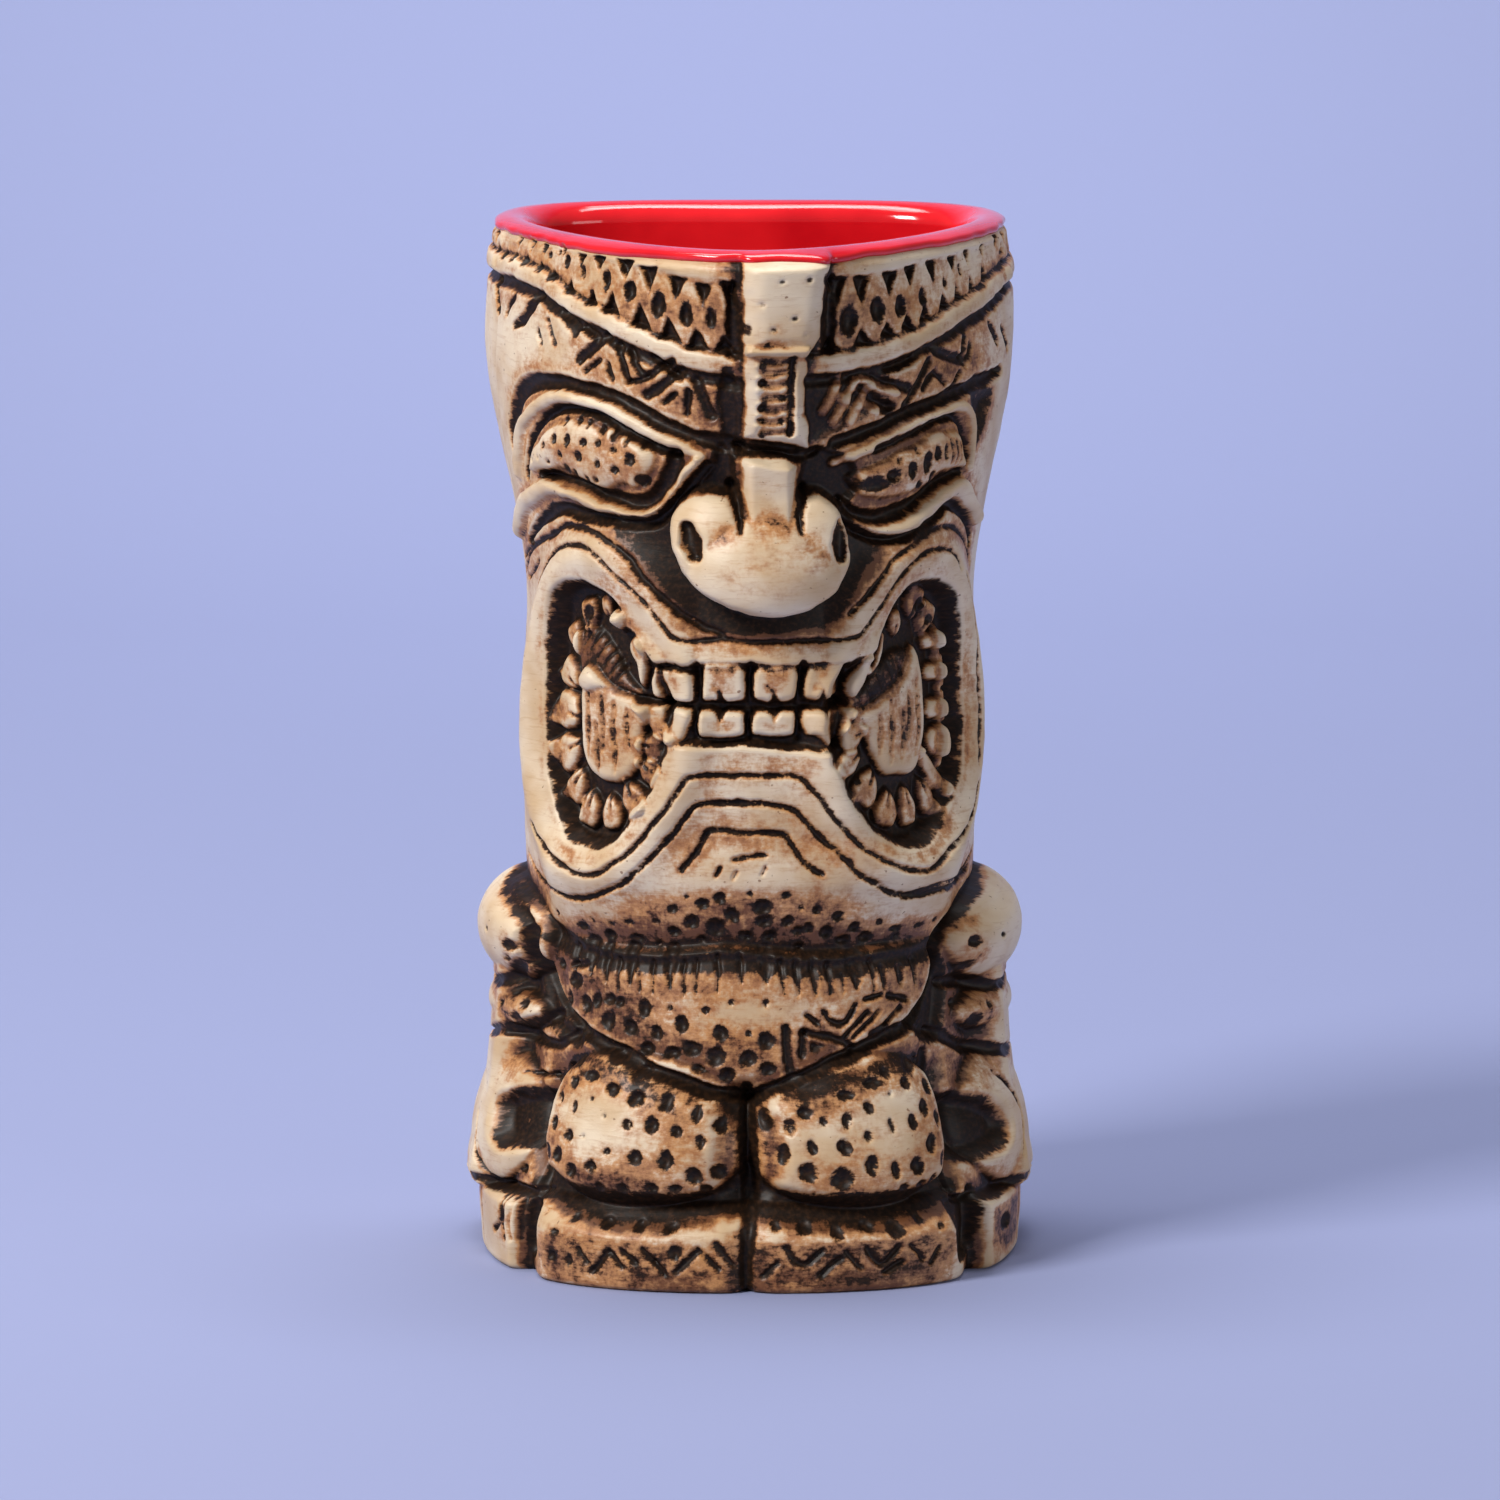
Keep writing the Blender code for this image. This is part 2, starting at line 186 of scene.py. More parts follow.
def distances(line, margin):
    """(window, distance from the line, share of the way along it) within a margin of the line."""
    rows, cols = window(line, margin + 1)
    x, y = HAND_ALONG[rows, cols], HAND_UP[rows, cols]
    gap, share = np.full(x.shape, FAR), np.zeros(x.shape)
    for index, (a, b) in enumerate(zip(line, line[1:])):
        part_rows, part_cols = window(np.array([a, b]), margin + 1)
        r = slice(part_rows.start - rows.start, part_rows.stop - rows.start)
        c = slice(part_cols.start - cols.start, part_cols.stop - cols.start)
        run = max(1e-9, float(((b - a) ** 2).sum()))
        t = np.clip(((x[r, c] - a[0]) * (b[0] - a[0]) + (y[r, c] - a[1]) * (b[1] - a[1])) / run, 0, 1)
        here = np.hypot(x[r, c] - a[0] - t * (b[0] - a[0]), y[r, c] - a[1] - t * (b[1] - a[1]))
        closer = here < gap[r, c]
        gap[r, c] = np.where(closer, here, gap[r, c])
        share[r, c] = np.where(closer, (index + t) / (len(line) - 1), share[r, c])
    return (rows, cols), gap, share


def inside_distance(points, margin, smooth=True):
    """(window, distance in from the outline: negative outside) for a closed outline."""
    line = smooth_line(points, True) if smooth else np.array(list(points) + [points[0]], float)
    place, gap, _ = distances(line, margin)
    x, y = HAND_ALONG[place], HAND_UP[place]
    inside = np.zeros(x.shape, bool)
    for a, b in zip(line, line[1:]):
        crossing = (a[1] > y) != (b[1] > y)
        slope = (b[0] - a[0]) / (b[1] - a[1] if b[1] != a[1] else 1e-9)
        inside ^= crossing & (x < a[0] + (y - a[1]) * slope)
    return place, np.where(inside, np.minimum(gap, FAR - 1), -gap)


def add_ink(place, amount):
    INK[place] = np.maximum(INK[place], amount)


def widths(width, share):
    """A line's half width: one number, or several spread along it."""
    return np.interp(share, np.linspace(0, 1, np.size(width)), np.atleast_1d(width))


def groove(points, width, depth, ink):
    """A cut along a line, `width` to each side of it."""
    place, gap, share = distances(smooth_line(points), np.max(width) * 1.6)
    wide = widths(width, share)
    RELIEF[place] -= depth * np.clip(1 - (gap / wide) ** 2, 0, 1) ** 0.8
    add_ink(place, ink * soft(wide * 1.35 - gap, 0, wide * 0.7))


def ridge(points, width, height, wiped):
    """A raised strand along a line, wiped of this share of its stain."""
    place, gap, share = distances(smooth_line(points), np.max(width) * 1.5)
    wide = widths(width, share)
    RELIEF[place] += height * np.sqrt(np.clip(1 - (gap / wide) ** 2, 0, 1))
    INK[place] *= 1 - wiped * soft(wide * 1.15 - gap, 0, wide * 0.5)


def sink(points, depth, edge, ink, smooth=True, fade=0.5):
    """A hollow with this outline, as deep as this past an edge of this width."""
    place, inward = inside_distance(points, 2.0, smooth)
    RELIEF[place] -= depth * soft(inward, -0.1, edge)
    add_ink(place, ink * soft(inward, -0.5, fade))


def lump(points, height, edge, wiped, smooth=True):
    """A raised form with this outline and a rounded edge, wiped of this share of its stain."""
    place, inward = inside_distance(points, 2.0, smooth)
    t = np.clip(inward / edge, 0, 1)
    RELIEF[place] += height * np.sqrt(1 - (1 - t) ** 2)
    INK[place] *= 1 - wiped * soft(inward, -0.5, 0.4)


def wash(points, ink, edge, smooth=True):
    """Stain brushed over this outline; some calls use it to paint shade."""
    place, inward = inside_distance(points, edge * 2, smooth)
    add_ink(place, ink * soft(inward, -edge, edge))


def clean(points, amount, edge):
    """Stain wiped off this outline."""
    place, inward = inside_distance(points, edge * 2)
    INK[place] *= 1 - amount * soft(inward, -edge, edge)


def pits(*places, depth=1.1, size=1.0):
    """Round holes: along, up, then the half width and half height if it isn't a plain dot."""
    for x, y, *radii in places:
        wide = (radii[0] if radii else 0.7) * size
        tall = (radii[1] if len(radii) > 1 else wide / size) * size
        place = window(np.array([(x - wide, y - tall), (x + wide, y + tall)]), 1.0)
        out = np.hypot((HAND_ALONG[place] - x) / wide, (HAND_UP[place] - y) / tall)
        scale = min(0.85, 0.3 + 0.5 * min(wide, tall))
        RELIEF[place] -= depth * scale * np.clip(1.05 - out**2, 0, 1) ** 0.7
        add_ink(place, soft(1.6 - out, 0, 0.7))


def wedge(x, base, tip, width, depth, ink):
    """A triangular cut from a flat base to a tip above or below it."""
    sink([(x - width / 2, base), (x + width / 2, base), (x, tip)], depth, 0.7, ink, False)


def mass(x, y, wide, tall, reach, power=1.0):
    """A large rounded form."""
    out = ((ALONG - x) / wide) ** 2 + ((UP - y) / tall) ** 2
    return reach * np.clip(1 - out, 0, 1) ** power


def neck_climb():
    """How far the neck line climbs from the ears to the back."""
    return np.clip(np.abs(ALONG) - 60, 0, 40) * 0.22


def big_forms():
    """The large forms of head and body under the carving."""
    middle = through((0, 57, 95, 125, 158, 178), (0, 0, 1.5, 2.2, 5, 5), UP[:, :1])
    side = np.abs(ALONG - middle)
    head = 2.2 * soft(side, 45, 35) * soft(UP, 56, 64) * soft(UP, 78, 68)
    head += mass(-31, 142, 25, 12, -2.6) + mass(33, 142, 22, 11, -2.6)
    arc = np.hypot((side - 30) / 19, (UP - 97) / 27)
    head += 2.6 * np.exp(-(((arc - 1.0) / 0.2) ** 2))
    head = np.maximum(head, 1.8 * np.exp(-(((UP - 107) / 8) ** 2)) * soft(side, 26, 16))
    flat = np.abs(ALONG)
    body = np.maximum(mass(0, 55, 38, 27, 3.2, 0.6), 0)
    body = np.maximum(body, mass(-18, 27, 19, 13.5, 6.6, 0.5))
    body = np.maximum(body, mass(16.5, 26.8, 18.5, 13.5, 6.6, 0.5))
    toes = 4.2 * np.sqrt(np.clip((14.6 - UP) / 5.5, 0, 1)) * soft(flat, 37, 29)
    toes *= 1 - 0.3 * soft(np.abs(ALONG + 0.3), 4.0, 0.2)
    body = np.maximum(body, toes)
    for x, y, wide, tall, reach in (
        (62, 56, 22, 10, 8.8), (64, 43, 22, 5.2, 6.6), (62, 24, 24, 14.5, 6.6), (92, 38, 28, 34, 4.5),
    ):
        out = ((flat - x) / wide) ** 2 + ((UP - y) / tall) ** 2
        body = np.maximum(body, reach * np.clip(1 - out, 0, 1) ** 0.62)
    body = np.maximum(body, 3.6 * soft(flat, 36, 39) * soft(UP, 14, 11) * soft(flat, 64, 58))
    column = soft(flat, 47, 54) * soft(flat, 96, 70)
    body = np.maximum(body, 5.9 * column * soft(UP, 9, 13) * soft(UP, 64, 59))
    chin = np.interp(ALONG, *zip(*CHIN_EDGE)) + neck_climb()
    over = soft(UP - chin, -0.9, 1.1)
    RELIEF[:] = over * head + (1 - over) * body
    RELIEF[:] -= 1.1 * np.exp(-(((UP - chin + 1.8) / 1.6) ** 2)) * soft(np.abs(ALONG), 70, 50)
    # Painted shade, partly stain: a dark band under the chin's edge, for the shadow that the
    # overhanging chin casts there.
    under = soft(chin - UP, -0.5, 0.4) * soft(chin - UP, 5.0, 3.0) * soft(np.abs(ALONG), 44, 36)
    INK[:] = np.maximum(INK, 1.2 * under)


CHIN_EDGE = [
    (-126, 78), (-59.7, 64.7), (-56.1, 64.3), (-50.6, 62.9), (-44.7, 61.1), (-40.2, 59.5),
    (-34.7, 58.4), (-29.3, 57.2), (-23.4, 56.8), (-16.5, 56.8), (-9.7, 57.5), (-4.7, 58.1), (2.5, 57.5),
    (9.4, 56.5), (16.2, 56.5), (23, 57), (29.8, 57), (35.7, 57.7), (38.9, 59.7), (43.5, 61.1),
    (50, 62.5), (60, 64.5), (126, 78),
]

LEFT_LOBE = [
    (-31.2, 120.2), (-34.4, 119.7), (-38, 117.9), (-39.8, 115.2), (-41, 112), (-41.9, 107.5),
    (-42.1, 102.9), (-42.1, 99.3), (-41.6, 94.7), (-41.2, 90.2), (-40.5, 86.5), (-39.4, 83.8),
    (-37.5, 80.6), (-34.8, 76.5), (-32.1, 74.7), (-28.9, 73.9), (-25.7, 73.8), (-23, 75), (-19.8, 78.4),
    (-17.1, 82.5), (-14.8, 86.5), (-13.5, 90.2), (-12.5, 92.5), (-12, 100), (-14, 107), (-15, 107.2),
    (-17.5, 109.5), (-19.5, 112), (-23.5, 113.6), (-22.1, 115.2), (-23, 116.5), (-25.3, 118.4),
    (-28.5, 119.6),
]
RIGHT_LOBE = [
    (27.8, 119.3), (30.5, 120), (34.6, 120.2), (38.3, 119), (41.5, 117), (43.7, 113.4), (45.1, 109.3),
    (45.3, 103.8), (45.1, 98.4), (45.1, 93.8), (44.2, 89.3), (43.3, 85.2), (41, 82), (38.7, 79.7),
    (36, 77), (32.4, 74.7), (29.2, 73.8), (25.5, 74), (22.8, 75.6), (19.6, 77.9), (16.9, 81.1),
    (14.6, 84.7), (13.3, 88.4), (12.1, 91), (11.5, 98), (14, 106.5), (20.5, 108.8), (21.9, 111.1),
    (23.7, 113.8), (26, 117.5),
]


def headband():
    """The plaited band round the brow and the strip that edges it."""
    strip = [
        (-65, 170.8), (-55, 170.5), (-47, 169.9), (-40, 168.5), (-30, 165.8), (-20, 162.9),
        (-10, 159.6), (-2, 158),
    ]
    other = [
        (9, 158.4), (15, 158.4), (20, 158.9), (25, 159.7), (30, 160.8), (35, 162.2), (40, 163.4),
        (45, 164.6), (50, 165.5), (60, 167.5), (66, 168.6),
    ]
    around = [(s, 171.2 + 0.6 * math.sin(s / 9)) for s in range(-126, -60, 6)]
    around_right = [(s, 168.9 + 2.4 * soft(s, 66, 100)) for s in range(66, 130, 6)]
    sink([(-66, 172.9), (-47, 171.8), (-30, 167.9), (-12, 162), (-2.5, 160.2), (-1.5, 168), (-2, 173.4),
          (-12, 174.4), (-30, 176.4), (-50, 177.2), (-66, 177.2)], 0.4, 1.2, 0.03, False)
    sink([(66, 170.6), (50, 167.5), (35, 164.2), (20, 161), (11.5, 160.3), (11.5, 173), (20, 173.6),
          (35, 174.6), (50, 175.2), (66, 175.6)], 0.4, 1.2, 0.03, False)
    for line in (strip, other, around, around_right):
        ridge(line, 1.9, 0.55, 0.9)
        groove([(s, z - 2.5) for s, z in line], 1.3, 1.1, 0.75)
        groove([(s, z + 2.1) for s, z in line], 0.55, 0.6, 0.55)
    for place in (
        (-51.5, 177, 173.6, 2.8), (-46, 176.8, 173.8, 2.6), (-33, 176.2, 173.2, 3),
        (-28, 176.2, 172.8, 3.4), (-21.5, 176, 171.8, 4.6), (-16.5, 175, 169.6, 3.9),
        (-11.3, 173.4, 169, 3.4), (-7, 172.6, 168, 2.9), (-3, 173.2, 167.4, 2.6),
        (13.8, 173, 167.6, 3.4), (18.8, 173, 167.6, 3.6), (25, 173.3, 168.7, 3.8),
        (30.5, 173.8, 170, 3.2), (37, 174.2, 170.2, 3.2), (44, 174.3, 170.8, 3),
        (50, 174.8, 171.8, 2.4), (-57, 177, 174.2, 2.2), (-39, 177, 174.6, 1.8), (57, 175, 172.4, 2),
        (-62, 171.7, 173.8, 2.2), (-57.5, 171.4, 173.6, 2), (-52.5, 171.2, 173.8, 2.2),
        (-46.5, 170.8, 173, 2.4), (-41.5, 169.8, 172.2, 2.6), (-35.5, 168.4, 171.4, 2.8),
        (-29.5, 166.8, 170.4, 3), (-24.5, 165.8, 170.2, 4.4), (-18, 163.7, 168.5, 4.2),
        (-12.7, 162.3, 167, 3.8), (-8, 161, 165.3, 3.6), (-4, 160.6, 164.2, 3),
        (12.9, 160.2, 163.4, 3.8), (18.8, 160.7, 164.6, 3.6), (23.9, 161.7, 165, 3.8),
        (29, 162.8, 166.2, 3.8), (34, 164, 167.4, 3.6), (39.6, 165.4, 168.6, 3.2),
        (44.6, 166.6, 169.6, 2.8), (50, 167.8, 170.6, 2.6), (56, 168.8, 171.4, 2.4),
    ):
        x, base, tip, width = place
        wedge(x, base, tip, width * 1.12, 1.5, 1.05)
    for s in list(range(-124, -66, 5)) + list(range(64, 126, 5)):
        wedge(s, 176.4, 173.2, 3.0, 1.2, 0.8)
        wedge(s + 2.5, 171.9 + 0.3 * math.sin(s), 175.0, 3.0, 1.2, 0.8)
    pits((-43.5, 174.4, 0.5, 0.7), (-40.5, 175.4, 0.4, 0.5), (-37.3, 174, 0.7, 1.1),
         (-32.2, 172.6, 0.6, 1), (-26, 171.8, 0.85, 1.6), (-20.3, 170.2, 1.05, 1.5),
         (-14.6, 168.3, 1.15, 1.8), (-9.5, 167, 0.9, 1.8), (-5.6, 166.6, 0.7, 1.5),
         (16, 165.5, 1.4, 2.3), (21.8, 166.8, 1.3, 1.9), (27.3, 167.3, 1.1, 1.8),
         (33.6, 168.3, 0.9, 1.4), (40.5, 169.6, 0.5, 0.9), (46.5, 171.4, 0.5, 0.8), depth=1.6,
         size=1.12)
    groove([(-2.6, 173), (-2.4, 167), (-2.4, 160.5)], [0.3, 1.2, 1.2], 1.5, 0.9)
    groove([(12.7, 173.2), (12.3, 167), (12.3, 161)], [0.4, 1.5, 1.3], 1.5, 0.95)


def brow_post():
    """The post down the middle of the brow, with its stitched lower half."""
    lump([(-1.2, 160.6), (-1.1, 170), (-1.4, 179.5), (12.4, 179.5), (12.2, 176), (10.9, 170),
          (10.5, 163), (8.9, 160.2), (4, 160.6)], 4.4, 3.5, 0.9, False)
    lump([(-1, 146), (-0.9, 153), (-1, 162), (8.6, 162), (8.3, 150), (9.6, 144.3), (4, 145.2)],
         3.8, 2.6, 0.85, False)
    sink([(1.1, 146.4), (1.2, 160.2), (6.4, 160.2), (6.2, 146.6)], 0.8, 0.8, 0.62, False)
    groove([(5.9, 160.4), (5.9, 154), (5.7, 147)], 0.6, 0.9, 1.0)
    for height in (158.6, 156.6, 154.6, 152.4, 150.2, 148.2):
        ridge([(1.3, height + 0.3), (3.4, height), (5, height + 0.4)], 0.5, 0.5, 0.65)
    pits((1.7, 156, 0.6, 0.8), (1.7, 152, 0.6, 0.9), (1.7, 149.5, 0.6, 0.7), (1.7, 147, 0.5, 0.7),
         (1.8, 159, 0.5, 0.6), (4.6, 153.4, 0.5, 0.6), (4.4, 149.2, 0.4, 0.6))
    pits((4.3, 173.5, 0.45), (8.2, 173.6, 0.5), (11, 173.2, 0.5, 0.9), (1.5, 169.5, 0.5),
         (6, 167, 0.55), (3, 165.2, 0.5), (-0.3, 165, 0.6, 1.2), (7.8, 164, 0.35), (9, 168.6, 0.3),
         (2.2, 162.6, 0.4), depth=0.8)
    groove([(-2, 161.6), (3, 161.2), (9.5, 160.8)], [0.3, 0.6, 0.5], 0.4, 0.5)
    groove([(-2.5, 144.9), (-1, 144.3), (2, 143.3), (5, 142.5), (9, 143.3), (11, 144)], [0.6, 1.3, 1.0],
           1.6, 1.0)
    wash([(-2, 147.5), (9, 147), (9.5, 144), (-1.5, 144.5)], 0.45, 1.0)
    wash([(-1, 161), (8.6, 161), (8.6, 146), (-1, 146)], 0.3, 1.0)
    wash([(-1.4, 163), (4, 163), (3, 160), (-1.4, 160)], 0.35, 1.2)


def brow_cuts():
    """Chip-carved cuts across the brow."""
    for points, width in (
        ([(-65, 167.5), (-61.5, 163.2)], 1.0), ([(-54.5, 166), (-57.5, 163.2)], 0.7),
        ([(-46, 167), (-50, 163), (-53.5, 161)], [1.5, 1.2, 0.7]),
        ([(-41.5, 163.5), (-38.8, 159.7)], 0.6), ([(-44.5, 161.5), (-43.3, 159.5)], 0.5),
        ([(-37, 165), (-33, 162.5)], 1.4), ([(-31, 163), (-28, 161.5)], 0.9),
        ([(-25, 162), (-31.5, 157.8)], 1.1), ([(-26.5, 158), (-30, 156)], 0.6),
        ([(-24.8, 157.5), (-23.8, 155)], 0.6), ([(-22.5, 160.5), (-20.5, 155)], 0.9),
        ([(-20, 160), (-17, 156.5), (-12, 159)], 0.8), ([(-10.5, 157.5), (-17, 152.7)], 0.9),
        ([(-9.8, 154), (-9.8, 150.2)], 0.7), ([(-8.3, 155.5), (-6, 150)], 1.1),
        ([(-12, 153.5), (-14, 152)], 0.6), ([(-15.5, 159.5), (-11, 156)], 0.7),
        ([(-20.8, 154.5), (-16.5, 156)], 0.6), ([(19, 153.5), (25, 150)], 0.8),
        ([(17, 152), (24, 150)], 1.2), ([(21, 155), (28, 153)], 1.1), ([(27.5, 150), (34, 157)], 0.8),
        ([(32, 152.5), (35, 155), (38, 153)], 0.6), ([(36, 158.5), (44.5, 156)], 1.1),
        ([(45, 160), (44, 157)], 0.7), ([(47, 158.5), (46, 156.5)], 0.8),
        ([(55, 161.5), (58, 158)], 0.8), ([(24, 156.5), (30, 157.6)], 0.8),
        ([(40, 152), (43, 154.4)], 0.5), ([(61, 160), (64, 156)], 0.7),
    ):
        groove(points, width, 1.0, 0.95)
    wash([(-35.5, 165), (-28, 163.5), (-28.5, 160.6), (-34.5, 161.4)], 0.5, 1.2)
    wash([(-24, 161), (-9, 158), (-5, 155), (-5, 149), (-12, 151.5), (-20, 154)], 0.42, 1.5)
    # Partly stain, partly painted shade: the recess right of the post is inked dark as a deep shadowed
    # hollow.
    sink([(9.3, 156.5), (13, 157.2), (20, 157), (26, 155.6), (24, 151.4), (17, 147.6), (9.5, 145.6)],
         0.7, 2, 0.66)
    for line in ([(11.4, 150.2), (14.2, 155.6)], [(13.4, 148.8), (17.4, 155)],
                 [(16.4, 148.6), (20.6, 154.2)], [(14.6, 152.6), (21.6, 150.2)],
                 [(18.6, 155.4), (25.4, 152.6)]):
        ridge(line, 0.95, 0.8, 0.8)
    sink([(-4.6, 157.6), (-2, 157.2), (-1.6, 146), (-5, 146.6)], 1.0, 1.2, 0.93)
    wash([(30, 156), (46, 158), (52, 155.4), (44, 152.6), (32, 151)], 0.34, 2.0)


def eyes():
    """Both eyes: grooves and lids round a pitted ball."""
    sink([(-12.7, 133.8), (-10, 137), (-6.8, 141.1), (-5.5, 145.2), (-2.7, 144), (-2, 139.3),
          (-0.9, 134.7), (-0.5, 130.6), (-1.2, 130.2), (-3.6, 135.2), (-6.4, 136.5), (-9.5, 136.3)],
         1.6, 1.6, 0.97)
    sink([(8, 141.5), (10, 144.4), (14, 144.4), (18, 141.2), (19, 137), (16.5, 134), (14.5, 133.5),
          (12, 135.5), (10, 136.3), (8, 135.5), (7.2, 137)], 1.6, 1.6, 0.97)
    groove([(-54, 141.5), (-53.6, 144), (-52, 147), (-49.5, 150.5), (-45, 152.4), (-38, 153.2),
            (-32, 153.1), (-26, 152.2), (-20, 150.7), (-14, 148.2), (-8, 146), (-2, 144.5)],
           [2.6, 2.3, 1.7, 1.4, 1.5, 1.6], 1.7, 0.97)
    ridge([(-53.2, 136), (-50.9, 141.5), (-48.2, 145.2), (-44.5, 147.9), (-40.9, 149.7), (-36.4, 150.9),
           (-31.8, 150.9), (-27.3, 150.2), (-22.7, 149), (-18.2, 147.2), (-13.6, 145.4), (-10, 143.8),
           (-7.7, 142.7)], [1.1, 1.3, 1.3, 1.2, 0.9], 1.2, 0.9)
    groove([(-49.5, 136), (-47.3, 140.6), (-44.1, 144.3), (-40.5, 147), (-36.4, 148.6), (-31.8, 149),
            (-27.3, 148.6), (-22.7, 147.2), (-19.1, 145.6), (-14.5, 143.8), (-11.8, 142.9)], 1.0, 1.5,
           0.97)
    ball = [(-40, 144.5), (-36.4, 146.3), (-34.5, 146.5), (-32.7, 147.4), (-31, 146.9), (-28.2, 147),
            (-25.5, 146), (-23.6, 146.8), (-22.2, 145.6), (-20, 145.6), (-17.3, 144.7), (-15.5, 142.5),
            (-16.4, 139.3), (-19.1, 136.5), (-21.4, 137), (-24.5, 136.3), (-28.2, 136.3),
            (-31.8, 137.5), (-35.5, 138.4), (-40, 137.9), (-44.1, 137), (-46.4, 137), (-45, 140.2),
            (-42.7, 142.5)]
    lump(ball, 1.9, 4.0, 0.45)
    groove([(-43, 137), (-40, 137.2), (-34.5, 136.2), (-30, 135.6), (-25, 134.5), (-20, 133.8),
            (-16.4, 134.7), (-14, 137), (-12.4, 140.6), (-12, 142.9)], [0.9, 1.3, 1.6, 2.0, 1.6], 1.7,
           0.97)
    pits((-39.5, 142.3, 0.5), (-36.3, 143.5, 0.7, 1.1), (-33, 143.7, 0.7, 1.2), (-29.2, 143.7),
         (-26, 144), (-22.7, 143.2, 0.7, 0.9), (-17, 144, 0.9, 0.8), (-43.8, 139.4, 0.4),
         (-30.2, 141.1, 0.7, 1.1), (-26, 140.3, 0.6, 0.8), (-22.5, 139.5, 0.9, 0.8),
         (-19.6, 141.7, 0.9, 1.2), (-18, 138, 1.2, 1), (-34, 138.8, 0.8, 0.6), (-31.8, 138.2, 0.6),
         (-29, 137.5, 0.6), (-27, 137.5, 0.6), (-41.6, 140.2, 0.4), (-34.8, 141, 0.45, 0.7),
         (-38.8, 139.6, 0.5), (-34.5, 146.6, 0.5, 0.8), (-31, 147, 0.5, 0.8), (-28.5, 146.6, 0.5, 0.8),
         (-25.5, 146, 0.5, 0.8), (-23, 145.6, 0.5, 0.8), (-20.5, 144.8, 0.5, 0.8), depth=1.2)
    ridge([(-59, 125.5), (-55, 128), (-50, 131.5), (-45.5, 132.9), (-41.8, 134.6), (-38.2, 135.2),
           (-34.5, 135), (-30.9, 134.2), (-26.4, 132.9), (-22.7, 132), (-19.1, 131.8), (-15.9, 132.9),
           (-13.6, 135.2), (-11.8, 137.5), (-10, 140), (-8.2, 141.8)],
          [1.7, 1.8, 1.6, 1.5, 1.1, 0.9, 0.8], 1.7, 0.95)
    groove([(-52.5, 124.2), (-49.1, 126.1), (-45, 128.4), (-40.9, 130.2), (-36.4, 131.3),
            (-30.9, 130.9), (-25.5, 130.9), (-20, 130.6), (-15.9, 130.9), (-14.1, 132.5),
            (-11.8, 135.2), (-9.5, 137.9), (-6.8, 141.1)], [0.8, 1.4, 1.4, 1.3, 1.0], 1.5, 0.97)
    groove([(14, 145), (20, 146.5), (25, 147.8), (30, 149), (35, 150), (40, 150.8), (45, 151.5),
            (50, 152), (55, 152.5), (60, 153)], [1.4, 1.3, 1.4, 1.5, 1.2], 1.7, 0.97)
    sink([(46.4, 151.5), (52, 152), (56, 149), (52, 143), (47, 139.6), (46.4, 143), (46.6, 147.6)], 1.4,
         3.4, 0.9)
    ridge([(14.2, 141.5), (18.7, 143.1), (24.2, 144.7), (28.7, 146.1), (33.3, 147.5), (37.8, 148.3),
           (41.8, 148.8), (44.5, 147.9), (46, 145.6), (46.4, 142), (46, 137.5)], [0.9, 1.0, 1.0, 0.9],
          1.3, 0.95)
    groove([(21.5, 143.4), (27.8, 145.2), (34.6, 146.8), (38.7, 147.2), (41.9, 146.4), (44.2, 142.9),
            (44.9, 139.3)], 0.9, 1.3, 0.97)
    wash([(-45, 138.6), (-36, 140), (-22, 138.6), (-17, 142), (-17, 136.6), (-30, 136.4)], 0.36, 1.8)
    ball = [(16.5, 138.8), (19.6, 140), (23.3, 141.1), (25.5, 142.2), (29.6, 143.4), (32.4, 144.7),
            (35.1, 145.2), (38.7, 144.5), (41.5, 144), (43.3, 141.1), (44.4, 137.9), (41.5, 138.4),
            (37.8, 137.9), (34.6, 137.2), (32.4, 136.1), (27.8, 135), (23.3, 134.5), (19.6, 135.2),
            (17.4, 137)]
    lump(ball, 1.8, 3.6, 0.4)
    wash([(17, 138.8), (24, 141.4), (29, 142.5), (27, 135.4), (21, 135)], 0.5, 1.4)
    pits((21, 137.3, 2.7, 1.5), (24.6, 138.4, 1.4, 1.1), (28.3, 139, 0.9, 1.6), (31.8, 140, 1, 2),
         (34.3, 141.5, 0.8, 1.5), (36.8, 141.3, 0.7, 1.5), (34, 137.6, 1.0, 0.8),
         (29.8, 142.2, 0.6, 0.8), (25.8, 141, 0.5, 0.6), (30.4, 136.5, 0.8, 0.7), depth=1.3)
    for x in (38.4, 39.9, 41.3, 42.6):
        groove([(x, 143.4 - 0.3 * (x - 38)), (x + 0.3, 139.4)], 0.42, 0.6, 0.9)
    groove([(15.5, 134.3), (17.8, 132.2), (21.5, 131.4), (25.1, 131.6), (29.6, 132.7), (33.7, 134.5),
            (36.9, 135.8), (40.5, 136.5), (43.3, 137.3)], [1.2, 1.6, 1.5, 1.2], 1.6, 0.97)
    ridge([(15, 133.8), (16.9, 131), (19.6, 129.7), (23.3, 129), (26.9, 129.3), (29.6, 130.2),
           (32.4, 131.6), (35.5, 133), (39.2, 134.1), (41.9, 134.4), (45.1, 133.5), (48.3, 131.3),
           (53, 128)], [0.9, 1.1, 1.3, 1.6, 1.8, 1.6], 1.7, 0.95)
    groove([(15.5, 132.9), (16.9, 130.2), (20.1, 128.4), (24.2, 127.7), (28.7, 127.9), (32.4, 128.8),
            (35.5, 130), (39.6, 131.2), (42.4, 131.3), (46, 130), (49.2, 127.5), (52, 124)], 1.05, 1.5,
           0.97)


